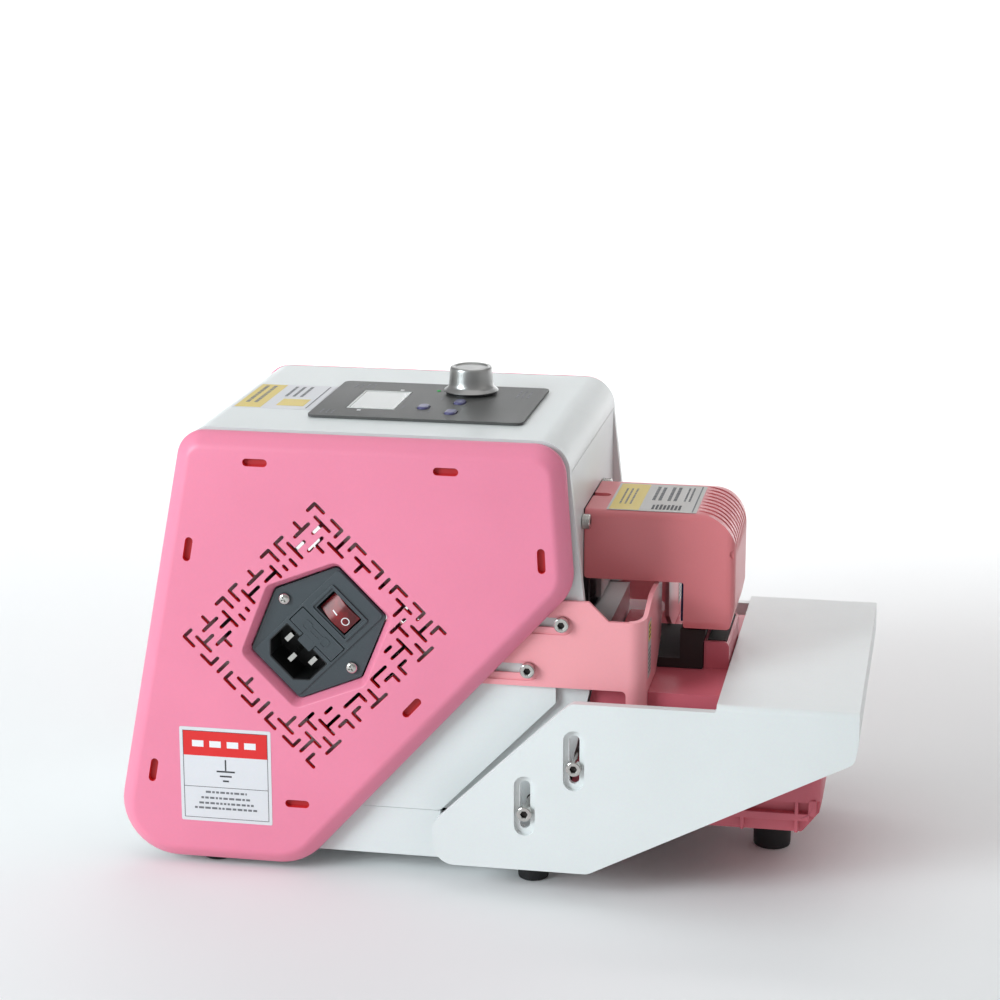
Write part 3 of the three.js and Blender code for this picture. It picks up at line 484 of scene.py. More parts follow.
def side_cover(with_inlet):
    """The pink side cover: a thin tray with a wide soft chamfer, pierced around the inlet."""
    def ring(distance, y):
        return [place3("y", p, -y) for p in outline(inset(COVER, distance) if distance else COVER, 12)]

    outer = [(7.3, 74), (6.5, 73.96), (5.6, 73.75), (4.6, 73.2), (3.1, 72), (1.5, 70.5), (0.6, 69.4),
             (0.15, 68.5),
             (0, 67.6), (0, COVER_RIM)]
    inner = [(2.3, COVER_RIM), (2.3, 67.6), (3.8, 69.8), (6.2, 71.5), (8.6, 71.8)]
    shell = mesh_object("cover", lambda bm: add_loft(bm, [ring(*r) for r in outer + inner]))
    posts = prisms("posts", "y", [circle(x, z, 3.2, 24) for x, z in
                                  ((-118, 168), (-2, 168), (-134, 24), (-92, 24))], -73, -64.3)
    shell = join(shell, posts)
    if with_inlet:
        grown = [(u * (1 + 5 / math.hypot(u, v)), v * (1 + 5 / math.hypot(u, v)), 4) for u, v in FLANGE]
        collar = prism("collar", "y", on_inlet(outline(grown, 6)), -73, -66.9)
        shell = join(shell, collar)

        def way(bm):
            rings = []
            for margin, y, radius in ((5.2, 75, 4.5), (4.1, 74, 4.5), (3.4, 73.4, 4.2), (2.6, 72, 4),
                                      (0.7, 68.8, 3),
                                      (0.5, 60, 3)):
                corners = [(u * (1 + margin / math.hypot(u, v)), v * (1 + margin / math.hypot(u, v)), radius)
                           for u, v in FLANGE]
                rings.append([place3("y", p, -y) for p in on_inlet(outline(corners, 8))])
            add_loft(bm, rings)
        shell = cut(shell, mesh_object("way", way))
    first, second, bar = vent_glyphs()
    tools = [prisms("edge_slots", "y", [stadium(x, z, 10.5, 3.3, a, 8) for x, z, a in COVER_SLOTS], -76, -70)]
    for bars in (first, second):
        tools.append(prisms("bars", "y", [
            on_inlet(stadium(a, b, length, bar, angle, 4)) for a, b, angle, length in bars], -76, -70))
    return cut(shell, *tools)


def paint_shade_in_cuts(obj):
    """The cut walls of the vents and slots get a deeper red: painted shade, tinted red as by light passing
    through the pink plastic.
    """
    obj.data.materials.append(CUT_SHADE_RED)
    for face in obj.data.polygons:
        if abs(face.normal.y) < 0.2 and abs(face.center.y) > 0.0715:
            along = (face.center.x / MM - INLET_X + face.center.z / MM - INLET_Z) * math.sqrt(0.5)
            across = (face.center.z / MM - INLET_Z - face.center.x / MM + INLET_X) * math.sqrt(0.5)
            ring = 30.5 < max(abs(along), abs(across)) < 46 or (abs(across) > 20 and abs(along) < 46)
            edge = any((face.center.x / MM - x) ** 2 + (face.center.z / MM - z) ** 2 < 36
                       for x, z, _ in COVER_SLOTS)
            if (ring and abs(across) < 44) or edge:
                face.material_index = 1


left_cover = side_cover(True)
finish(left_cover, "root", PINK, ["left_cover"], edge=0.3, segments=2, angle=50)
paint_shade_in_cuts(left_cover)
left_cover.name = "cover_left"
plain_cover = side_cover(False)
right_cover = mirrored(plain_cover, "cover_right")
bpy.data.objects.remove(plain_cover)
finish(right_cover, "root", PINK, ["right_cover"], edge=0.3, segments=2, angle=50)
paint_shade_in_cuts(right_cover)

# Dark red sheets just behind the cover's edge slots: painted shade, red as from light bouncing inside the
# pink cover.
for side, sign_y in SIDES:
    backs = prisms(f"slot_shade_backs_{side}", "y", [stadium(x, z, 13, 5.8, a, 8) for x, z, a in COVER_SLOTS],
                   *sorted((sign_y * 70.2, sign_y * 71.85)))
    finish(backs, "root", SLOT_SHADE_RED)

# ---- Case ----

REAR_SLOPE, REAR_AT_TOP = 0.189, -122.5


def rear_at(z):
    """The rear wall's x at a height."""
    return REAR_AT_TOP - REAR_SLOPE * (192 - z)


case = prism("case", "y", outline([
    (rear_at(30.3), 30.3), (-18, 30.3, 4), (31, 81), (31, 93), (43.4, 100), (43, 120), (36.4, 178),
    (36.4, 192, 13),
    (-122.5, 192, 10)], 16), -64, 64)
case_inside = prism("inside", "y", outline([
    (rear_at(0) + 2.4, 0), (71, 0), (71, 98.4), (34, 98.4), (34, 189.6, 10.6), (-120.1, 189.6, 7.6)], 12),
    -61.6, 61.6)
case_recess = block("recess", (31.4, 60), (-60, 60), (80, 179))
vent_window = prism("window", "y", on_inlet(outline(
    [(-34, -34, 4), (34, -34, 4), (34, 34, 4), (-34, 34, 4)], 6)), -70, 70)
key_holes = prisms("key_holes", "z", [stadium(x, y, 9, 5.6, math.pi / 2) for x, y in KEYS_AT], 180, 200)
knob_hole = prism("knob_hole", "z", circle(*KNOB_AT, 4.2), 180, 200)
gauge_holes = prisms("gauge_holes", "y", [circle(x, z, 2.1, 16) for x, z in GAUGE_SLOTS], -70, 70)
case = cut(case, case_inside, case_recess, vent_window, key_holes, knob_hole, gauge_holes)
case.name = "case_body"
finish(case, "root", WHITE, ["case_shell"], edge=0.8, segments=3, angle=35)

# ---- Mains inlet, its screws and the rocker ----


def inlet_piece(corners, low, high, steps=6):
    return prism("inlet_piece", "y", on_inlet(outline(corners, steps)), -high, -low)


def inlet_rect(u0, u1, v0, v1, radius=0.8):
    return [(u0, v0, radius), (u1, v0, radius), (u1, v1, radius), (u0, v1, radius)]


SOCKET = [(-22.7, -7, 1), (-17.5, -12, 1), (-6.6, -12, 0.6), (-6.6, 12, 0.6), (-17.5, 12, 1), (-22.7, 7, 1)]
flange = inlet_piece([(u, v, 2) for u, v in FLANGE], 67.7, 69.5)
inlet_body = inlet_piece(inlet_rect(-24.2, 22.3, -13.7, 13.7, 1.5), 46, 69)
raised = inlet_piece(inlet_rect(-26, 26.1, -13.4, 13.4, 1.6), 68.5, 70.1)
rocker_frame = inlet_piece(inlet_rect(5.9, 20, -10.4, 10.6, 0.8), 68.5, 70.9)
housing = join(flange, inlet_body, raised, rocker_frame)
bezel_step = inlet_piece(inlet_rect(6.9, 19, -9.4, 9.6, 0.6), 70.2, 72)
rocker_bay = inlet_piece(inlet_rect(7.6, 18.2, -8.3, 8.3, 0.4), 54.6, 72)
fuse_bay = inlet_piece(inlet_rect(-5, 3.7, -12.5, 12.5, 0.5), 48.6, 72)
tab_bay = inlet_piece(inlet_rect(-9, -4.4, -3.4, 4.4, 0.4), 68, 72)
socket_bay = inlet_piece(SOCKET, 52.6, 72)
screw_ways = prisms("screw_ways", "y", [circle(*on_inlet([(0, v)])[0], 1.6, 16) for v in (20, -20)], -75, -60)
housing = cut(housing, bezel_step, rocker_bay, fuse_bay, tab_bay, socket_bay, screw_ways)
housing.name = "inlet_body"
finish(housing, "root", SLATE, ["inlet_housing"], edge=0.35, segments=3, angle=35)

# A thin dark skin inside the socket's recess: painted shade in the deep hollow.
lining = inlet_piece(inset(SOCKET, 0.05), 52.7, 69.9)
lining = cut(lining, inlet_piece(inset(SOCKET, 0.45), 53.4, 72),
             inlet_piece(inlet_rect(-9, -4.4, -3.4, 4.4, 0.4), 68, 72))
lining.name = "socket_shade_lining"
finish(lining, "root", DARK, edge=0)

drawer = inlet_piece(inlet_rect(-4.65, 3.35, -12.15, 12.15, 0.5), 67.2, 70.25)
tray = inlet_piece(inlet_rect(-3.8, 2.5, -11.3, 11.3, 0.5), 49.4, 68)
tab = inlet_piece(inlet_rect(-8.6, -4.2, -3, 4, 0.5), 68.5, 70.3)
tray_space = inlet_piece(inlet_rect(-3, 6, -10.4, 10.4, 0.4), 51, 64.6)
drawer = cut(join(drawer, tray, tab), tray_space)
drawer.name = "fuse_drawer_body"
finish(drawer, "fuse_drawer", SLATE, ["fuse_drawer"], edge=0.3, segments=2, angle=35)


def fuse_sign():
    """A raised fuse outline: two caps and the tube between them."""
    caps = inlet_piece(inlet_rect(-3, 1.2, 3.6, 7.4, 1), 70.1, 70.45)
    caps = join(caps, inlet_piece(inlet_rect(-3, 1.2, -6.6, -2.8, 1), 70.1, 70.45))
    caps = join(caps, inlet_piece(inlet_rect(-2.2, 0.4, -3.4, 4.2, 0.3), 70.1, 70.4))
    inside = inlet_piece(inlet_rect(-2.4, 0.6, 4.2, 6.8, 0.7), 70, 71)
    inside2 = inlet_piece(inlet_rect(-2.4, 0.6, -6, -3.4, 0.7), 70, 71)
    inside3 = inlet_piece(inlet_rect(-1.6, -0.2, -2.2, 3, 0.3), 70, 71)
    return cut(caps, inside, inside2, inside3)


sign = fuse_sign()
sign.name = "fuse_sign"
finish(sign, "fuse_drawer", SLATE, edge=0.08, segments=2)


def in_rocker(u, v, out):
    """A point on the tilted rocker, from its own axes: u across, v along, out of its face."""
    tilt = -0.14
    v2 = v * math.cos(tilt) - out * math.sin(tilt)
    out2 = out * math.cos(tilt) + v * math.sin(tilt)
    flat = on_inlet([(u, v2)])[0]
    return Vector((flat.x, -INLET_FACE - out2, flat.y))


ROCKER_HALF = 7.6


def rise_at(v):
    """How far the rocker's bowed face stands out at a place along it."""
    return 0.9 - 2.1 * (abs(v) / ROCKER_HALF) ** 1.25


def rocker_profile(u):
    pts = []
    for k in range(21):
        v = -ROCKER_HALF + 2 * ROCKER_HALF * k / 20
        pts.append(in_rocker(u, v, rise_at(v)))
    for v, out in ((6.3, -5.8), (0, -7.8), (-6.3, -5.8)):
        pts.append(in_rocker(u, v, out))
    return pts


rocker = mesh_object("rocker_key", lambda bm: add_loft(
    bm, [rocker_profile(u) for u in (8.0, 8.25, 17.55, 17.8)]))
finish(rocker, "rocker", RED, ["rocker_switch"], edge=0.25, segments=2, angle=40)


def i_bar(bm):
    u0, u1, v0, v1 = 11.55, 12.1, -0.1, 2.7
    rings = []
    for k in range(7):
        v = v0 + (v1 - v0) * k / 6
        rings.append([in_rocker(u, v, rise_at(v) + lift)
                      for u, lift in ((u0, -0.1), (u1, -0.1), (u1, 0.07), (u0, 0.07))])
    add_loft(bm, rings)


def o_ring(bm):
    count = 32
    rows = []
    for k in range(count):
        t = 2 * math.pi * k / count
        row = []
        for radius, lift in ((1.35, -0.1), (1.75, -0.1), (1.75, 0.07), (1.35, 0.07)):
            u, v = 12.3 + radius * math.cos(t), -4.3 + radius * math.sin(t)
            row.append(bm.verts.new(in_rocker(u, v, rise_at(v) + lift)))
        rows.append(row)
    for k in range(count):
        a, b = rows[k], rows[(k + 1) % count]
        for i in range(4):
            j = (i + 1) % 4
            bm.faces.new((a[i], a[j], b[j], b[i]))


finish(mesh_object("rocker_mark_on", i_bar), "rocker", MARK_WHITE)
finish(mesh_object("rocker_mark_off", o_ring), "rocker", MARK_WHITE)

# ---- Screws ----


def socket_screw(name, at, direction, radius, length, shank, node):
    """A socket head cap screw with a hexagonal socket. direction points out of the head."""
    def build(bm):
        rings = []
        count = 60
        for r, h in ((0.05, 0), (radius, 0), (radius, 0.15), (radius, length - 0.6),
                     (radius * 0.97, length - 0.25),
                     (radius * 0.86, length), (radius * 0.58, length)):
            ring = []
            for k in range(count):
                t = 2 * math.pi * k / count
                knurl = 0.985 if (k % 2 and 0.1 < h < length - 0.4) else 1.0
                ring.append(Vector((r * knurl * math.cos(t), r * knurl * math.sin(t), h)))
            rings.append(ring)
        hexagon = []
        for k in range(count):
            t = 2 * math.pi * k / count
            sector = (t % (math.pi / 3)) - math.pi / 6
            r = radius * 0.44 / math.cos(sector)
            hexagon.append(Vector((r * math.cos(t), r * math.sin(t), length - 0.12)))
        rings.append(hexagon)
        rings.append([Vector((p.x, p.y, length * 0.45)) for p in hexagon])
        rings.append([Vector((p.x * 0.1, p.y * 0.1, length * 0.38)) for p in hexagon])
        add_loft(bm, rings)
        add_loft(bm, [[Vector((*c, 0.05)) for c in circle(0, 0, 1.65, 24)],
                      [Vector((*c, -shank)) for c in circle(0, 0, 1.65, 24)]])
        turn = Vector((0, 0, 1)).rotation_difference(Vector(direction)).to_matrix().to_4x4()
        bmesh.ops.transform(bm, matrix=Matrix.Translation(Vector(at)) @ turn, verts=bm.verts)
    obj = mesh_object(name, build)
    finish(obj, "root", CHROME, [node], edge=0, angle=25)
    # The faces inside the hexagonal socket take the dark steel: painted shade in the recess.
    obj.data.materials.append(SHADE_STEEL)
    for face in obj.data.polygons:
        away = Vector(face.center) / MM - Vector(at)
        height = away.dot(Vector(direction))
        off_axis = (away - height * Vector(direction)).length
        if off_axis < radius * 0.53 and length * 0.3 < height < length - 0.2:
            face.material_index = 1


for side, sign_y in SIDES:
    for i, (x, z) in enumerate(GAUGE_SLOTS, 1):
        socket_screw(f"gauge_bolt_{side}_{i}", (x, sign_y * 66.75, z), (0, sign_y, 0), 3.1, 3.0, 6,
                     f"gauge_screw_{side}_{i}")
    for i, (x, _, z) in enumerate(TABLE_SLOTS, 1):
        socket_screw(f"table_bolt_{side}_{i}", (x, sign_y * 77.15, z), (0, sign_y, 0), 3.2, 2.8, 20,
                     f"table_screw_{side}_{i}")
for i, y in enumerate((-31, 31), 1):
    socket_screw(f"arm_bolt_{i}", (36.75, y, 150.3), (1, 0, 0), 3.2, 3.3, 6, f"arm_screw_{i}")


def pan_screw(name, at, node):
    """A domed cross-recess screw on the inlet's flange."""
    profile = [(1.3, -66), (1.3, -69.8), (2.5, -69.8), (2.5, -70.2), (2.35, -70.7), (1.9, -71.1),
               (1.1, -71.3),
               (0.02, -71.35)]
    head = lathe(name, profile, at, "y", 40)
    cross = prism("cross_a", "y", stadium(at[0], at[1], 2.9, 0.6, 0.5, 2), -72, -70.5)
    cross_b = prism("cross_b", "y", stadium(at[0], at[1], 2.9, 0.6, 0.5 + math.pi / 2, 2), -72, -70.5)
    head = cut(head, cross, cross_b)
    return finish(head, "root", CHROME, [node], edge=0.06, segments=2, angle=40)


for i, v in enumerate((20, -20), 1):
    pan_screw(f"flange_screw_{i}", on_inlet([(0, v)])[0], f"inlet_screw_{i}")

# ---- Arm and head ----

ARM = [(36.7, 124.5, 1.5), (78.9, 124.5, 1), (78.9, 104.5, 1), (98.4, 104.5, 2), (100.4, 114, 6),
       (100.4, 154.2, 16),
       (36.7, 154.2)]
arm = prism("arm", "y", outline(ARM, 16), -26.5, 26.5)
arm_section = prism("arm_section", "x", outline([
    (-26.5, 90), (26.5, 90), (26.5, 154.2, 3.2), (-26.5, 154.2, 3.2)], 8), 30, 110)
head_ends = prism("head_ends", "z", outline([
    (30, -26.5), (100.4, -26.5, 4), (100.4, 26.5, 4), (30, 26.5)], 8), 90, 160)
arm = common(arm, arm_section, head_ends)
arm_hollow = prism("arm_hollow", "y", outline([
    (20, 126.7), (74.9, 126.7), (74.9, 106.7), (98.2, 106.7), (98.2, 152, 13.8), (20, 152)], 10), -24.3, 24.3)
punch_way = block("punch_way", (89, 96), (-18.3, 18.3), (90, 110))
top_notch = prism("top_notch", "z", stadium(38, 0.2, 12.4, 5.2, steps=8), 152.6, 160)
side_notch = prism("side_notch", "y", circle(99.8, 137.6, 2, 24), -30, -25)
head_hems = [prism(f"head_hem_{k}", "x",
                   [(k * 27, 103), (k * 27, 108.4), (k * 26.55, 108.4), (k * 25.2, 103)], 70, 110)
             for k in (-1, 1)]


def rib_grooves(bm):
    """Shallow grooves over the head's rounded top front."""
    path = [(83.6, 154.2)]
    for k in range(25):
        t = math.pi / 2 * (1 - k / 24)
        path.append((84.4 + 16 * math.cos(t), 138.2 + 16 * math.sin(t)))
    path.append((100.4, 135.4))
    count = len(path)
    for row in range(9):
        y = -20.6 + row * 5.15
        outer_edge, inner_edge = [], []
        for i, (x, z) in enumerate(path):
            away = Vector((x - 84.4, z - 138.2)).normalized()
            if x <= 84.4:
                away = Vector((0, 1))
            if z <= 138.2:
                away = Vector((1, 0))
            depth = 0.75 * min(1, 6 * i / count, 6 * (count - 1 - i) / count)
            outer_edge.append((x + away.x * 1.2, z + away.y * 1.2))
            inner_edge.append((x - away.x * depth, z - away.y * depth))
        loop = outer_edge + inner_edge[::-1]
        add_loft(bm, [[place3("y", p, level) for p in loop] for level in (y - 1.2, y + 1.2)])


grooves = mesh_object("grooves", rib_grooves)
arm = cut(arm, arm_hollow, punch_way, top_notch, side_notch, grooves, *head_hems)
arm.name = "arm_shell"
finish(arm, "root", SALMON, ["arm_cover"], edge=0.5, segments=3, angle=35)

# ---- Bed ----

bed_upper = prism("bed_upper", "y", outline([
    (36.4, 42), (45.3, 86, 1), (98.2, 86), (98.2, 74.5), (141, 74.5, 4), (141, 42)], 10), -57.5, 57.5)
bed_lower = prism("bed_lower", "y", outline([
    (33.4, 28), (36.5, 42.1), (141, 42.1), (140, 37), (133, 28, 2)], 8), -54, 54)
bed_foot = prism("bed_foot", "z", circle(117, 0, 9.5, 48), 12, 29)
pedestal = block("pedestal", (87.6, 98.2), (-22, 22), (85, 98))
pedestal = common(pedestal, prism("pedestal_round", "y", outline([
    (80, 80), (98.2, 80), (98.2, 98, 2.5), (80, 98)], 8), -30, 30))
bed_corners = prism("bed_corners", "z", outline([
    (20, -57.5), (141, -57.5, 7), (141, 57.5, 7), (20, 57.5)], 10), 0, 110)
bed_hollow = prism("bed_hollow", "y", outline([
    (20, 0), (20, 60), (47.7, 83.6), (95.8, 83.6), (95.8, 72.1), (138.6, 72.1), (138.6, 38), (131, 30.4),
    (100, 30.4),
    (100, 0)], 4), -51.6, 51.6)
bed = cut(common(join(bed_upper, bed_lower), bed_corners), bed_hollow)
bed = join(bed, bed_foot, pedestal)
die_way = block("die_way", (88.8, 97.1), (-20.3, 20.3), (96.6, 110))
post_way = block("post_way", (89.8, 96), (-20, 20), (80, 97))
bed_bolt_holes = prisms("bed_holes", "y", [circle(41, 58.4, 2.1, 16)], -70, 70)
bed = cut(bed, post_way, die_way, bed_bolt_holes)
bed.name = "bed_body"
finish(bed, "root", BED_PINK, ["bed_housing"], edge=0.5, segments=3, angle=35)


def bed_ribs(side):
    """The rim band and the upright ribs on the bed's lower side."""
    y0, y1 = (-57.3, -53.6) if side == "left" else (53.6, 57.3)
    band = block("band", (38, 136), (y0, y1), (33.8, 36.9))
    posts = [block("rib", (x, x + 1.5), (y0, y1), (28.6, 43)) for x in (60, 84, 107.6, 130)]
    end = block("rib_end", (135.6, 138.8), (y0, y1), (36.2, 43))
    piece = join(band, *posts, end)
    piece.name = f"bed_ribs_{side}"
    return finish(piece, "root", BED_PINK, edge=0.3, segments=2)


bed_ribs("left")
bed_ribs("right")

# ---- Table ----

table_side = prism("table_side", "y", outline([
    (36, 83, 4), (-18.6, 30, 8), (-17.5, 12.5, 9), (47, 12.5, 6), (154.5, 68, 4), (156, 76, 2), (156, 89.3),
    (98.9, 89.3), (98.9, 86.3, 1.2), (40, 86.3, 4)], 10), -79, -75)
pockets = prisms("pockets", "y", [stadium(x, z, 26, 8.8, math.pi / 2, 10) for x, z, _ in TABLE_SLOTS], -90,
                 -76.8)
slots = prisms("slots", "y", [stadium(x, z, 21, 4.2, math.pi / 2, 8) for x, z, _ in TABLE_SLOTS], -90, -60)
table_side = cut(table_side, pockets, slots)
table_twin = mirrored(table_side, "table_twin")
table_top = block("table_top", (98.9, 156), (-79, 79), (86.3, 89.3))
table_front = block("table_front", (153.5, 156), (-79, 79), (76, 87))
table = join(table_top, table_front, table_side, table_twin)
table_section = prism("table_section", "x", outline([
    (-79, 0), (79, 0), (79, 89.3, 2.6), (-79, 89.3, 2.6)], 8), -40, 170)
table = common(table, table_section)
table.name = "table_body"
finish(table, "table", WHITE_SMOOTH, ["table"], edge=0.6, segments=3, angle=35)

# ---- Back gauges ----


def gauge():
    band = prism("gauge_band", "z", outline([
        (-14, -66.4), (68.3, -66.4, 7), (68.3, -13.5), (66.4, -13.5), (66.4, -64.5, 5.1), (-14, -64.5)], 14),
        80.6, 126)
    side = prism("gauge_side", "y", outline([
        (-14, 88.6), (60.4, 88.6, 2), (60.4, 80.6), (61.3, 80.6), (61.3, 117.9), (59.6, 117.9, 1.5),
        (53, 117.9),
        (44.8, 125.9, 1.5), (33, 125.9), (-14, 100)], 6), -70, -60)
    stop = prism("gauge_stop", "x", outline([
        (-70, 80.6), (-58, 80.6), (-58, 86.4, 0.5), (-31, 86.4, 3), (-15, 97), (-10, 97), (-10, 123),
        (-42, 124, 3),
        (-66, 117.9), (-70, 117.9)], 6), 61.3, 69.3)
    wide = common(duplicate(band), side)
    front = common(band, stop)
    body = join(wide, front)
    middles = [(x - 10, z) for x, z in GAUGE_SLOTS]
    ways = prisms("gauge_ways", "y", [stadium(x, z, 24.2, 4.2, 0, 8) for x, z in middles], -70, -60)
    lows = prisms("gauge_lows", "y", [stadium(x, z - 0.8, 29, 8.4, 0, 8) for x, z in middles], -70, -65.75)
    return cut(body, lows, ways)


def duplicate(obj):
    twin = obj.copy()
    twin.data = obj.data.copy()
    bpy.context.scene.collection.objects.link(twin)
    return twin


left_gauge = gauge()
right_gauge = mirrored(left_gauge, "gauge_right")
left_gauge.name = "gauge_left"
finish(left_gauge, "left_gauge", GAUGE_PINK, ["left_gauge"], edge=0.3, segments=2, angle=35)
finish(right_gauge, "right_gauge", GAUGE_PINK, ["right_gauge"], edge=0.3, segments=2,
       angle=35)

# ---- Control panel ----

panel = prism("panel", "z", outline([
    (-79.3, -40, 3), (12.4, -40, 3), (12.4, 29.5, 3), (-79.3, 29.5, 3)], 10), 192.3, 193.3)
window = block("window", (-66.3, -45), (-24.3, 11.3), (190, 200))
keys = prisms("keys", "z", [stadium(x, y, 8.8, 5.4, math.pi / 2, 10) for x, y in KEYS_AT], 180, 200)
panel = cut(panel, window, keys, prism("way", "z", circle(*KNOB_AT, 4.2), 180, 200))
panel.name = "panel_overlay"
finish(panel, "root", GRAPHITE, ["control_panel"], edge=0.15, segments=2)

display = block("display_face", (-65.2, -46.1), (-23.2, 10.2), (192.4, 193.2))
finish(display, "root", SCREEN, ["display"], edge=0.1, segments=2)
rim = cut(block("display_frame", (-66, -45.3), (-24, 11), (192.4, 193.38)),
          block("display_inner", (-65.2, -46.1), (-23.2, 10.2), (190, 195)))
finish(rim, "root", SCREEN_RIM, edge=0.1, segments=2)

for i, (x, y) in enumerate(KEYS_AT, 1):
    def key_rings(bm, x=x, y=y):
        rings = []
        for shrink, z in ((0, 189.2), (0, 193.5), (0.12, 193.8), (0.4, 194.05), (0.9, 194.18), (1.5, 194.2)):
            rings.append([place3("z", p, z) for p in
                          stadium(x, y, 8.1 - 2 * shrink, 4.7 - 2 * shrink, math.pi / 2, 10)])
        add_loft(bm, rings)
    finish(mesh_object(f"key_{i}", key_rings), f"button_{i}", VIOLET, [f"button_{i}"], angle=40)

knob = lathe("knob_body", [
    (3, 187), (3, 194.35), (11.3, 194.35), (11.75, 194.6), (11.8, 194.9), (11.5, 195.3), (10.6, 195.9),
    (9.9, 196.7),
    (9.6, 197.8), (9.45, 199.5), (9.3, 203), (9.22, 204.4), (9.05, 204.9), (8.7, 205.2), (8.2, 205.38),
    (7.5, 205.4),
    (7.1, 205.3), (6.9, 204.95), (6.75, 204.8), (4, 204.85), (2, 204.95), (0.02, 205)], KNOB_AT, "z", 96)
finish(knob, "knob", ALUMINIUM, ["knob"], angle=32)
collar = lathe("knob_washer", [(4.4, 193.35), (10.6, 193.35), (10.6, 193.9), (4.4, 193.9)], KNOB_AT, "z", 64)
collar = cut(collar, prism("washer_bore", "z", circle(*KNOB_AT, 4.4, 64), 180, 200))
finish(collar, "root", BLACK, angle=40)


def bars_object(name, axis, rects, low, high):
    """Thin bars between two levels of an axis. A rect is (a0, a1, b0, b1)."""
    return prisms(name, axis, [[(a0, b0), (a1, b0), (a1, b1), (a0, b1)] for a0, a1, b0, b1 in rects], low,
                  high)


def flat_marks(name, rects, z, material):
    """Small printed bars on a level surface."""
    return finish(bars_object(name, "z", rects, z, z + 0.06), "root", material)


random.seed(11)


def text_like(x0, x1, y0, y1, line, pitch, along="y"):
    """Rows of short bars that stand for small print."""
    bars = []
    if along == "y":
        x = x0
        while x + line <= x1:
            y = y0
            while y < y1 - 0.6:
                length = min(random.uniform(0.8, 2.6), y1 - y)
                bars.append((x, x + line, y, y + length))
                y += length + random.uniform(0.4, 0.8)
            x += pitch
    else:
        y = y0
        while y + line <= y1:
            x = x0
            while x < x1 - 0.6:
                length = min(random.uniform(0.8, 2.6), x1 - x)
                bars.append((x, x + length, y, y + line))
                x += length + random.uniform(0.4, 0.8)
            y += pitch
    return bars


panel_bars = (text_like(-72.5, -62, 16, 24, 0.9, 2.6) + text_like(-75, -68, -35.5, -28, 0.8, 2.4)
              + text_like(1, 8, 8, 22, 0.8, 2.4) + text_like(-30, -27.5, -2, 4, 0.7, 2)
              + text_like(-30.5, -28, -26, -21, 0.7, 2) + text_like(-43, -41, -20, -15, 0.7, 2))
flat_marks("panel_print", panel_bars, 193.3, MARK_GREY)
flat_marks("panel_dots", [(-51, -49.4, 13.4, 15), (-60.5, -58.9, -28.6, -27)], 193.3, MARK_WHITE)
led = lathe("status_light", [(0.9, 193.28), (0.9, 193.5), (0.6, 193.7), (0.02, 193.78)], (-34.2, 15.2), "z",
            24)
finish(led, "root", GREEN)

# ---- Labels ----

label = prism("label_top", "z", outline([
    (-116, -26, 0.8), (-81, -26, 0.8), (-81, 21.4, 0.8), (-116, 21.4, 0.8)], 4), 192.02, 192.16)
finish(label, "root", LABEL)
flat_marks("label_top_band", [(-115, -103.5, -25, 20.4)], 192.16, MARK_YELLOW)
flat_marks("label_top_print", text_like(-112.5, -106, -16, 18, 1.6, 3.6)
           + text_like(-99, -89, -2, 18, 1.3, 3.4)
           + [(-84.1, -83.6, -24, 19.5)], 192.2, MARK_GREY)
flat_marks("label_top_patch", [(-98, -86, -20, -7)], 192.16, MARK_YELLOW)

label = prism("label_arm", "z", outline([
    (45.5, -24.3, 0.8), (83.4, -24.3, 0.8), (83.4, 21, 0.8), (45.5, 21, 0.8)], 4), 154.22, 154.34)
finish(label, "root", LABEL_GREY)
flat_marks("label_arm_band", [(46.5, 59, -23.3, 20)], 154.34, MARK_YELLOW)
flat_marks("label_arm_print", text_like(49.5, 56.5, -14, 12, 0.8, 2.2)
           + text_like(62.5, 66.5, -6, 17, 1.4, 2.6) + text_like(69, 73, -6, 17, 1.4, 2.6)
           + text_like(76, 79, -6, 17, 0.8, 2) + [(81.3, 81.9, -23.3, 20)],
           154.38, MARK_GREY)
flat_marks("label_arm_hatch", [(64 + 1.6 * k, 65 + 1.6 * k, -21, -14 + 0.5 * (k % 3)) for k in range(8)],
           154.38,
           MARK_DARK)


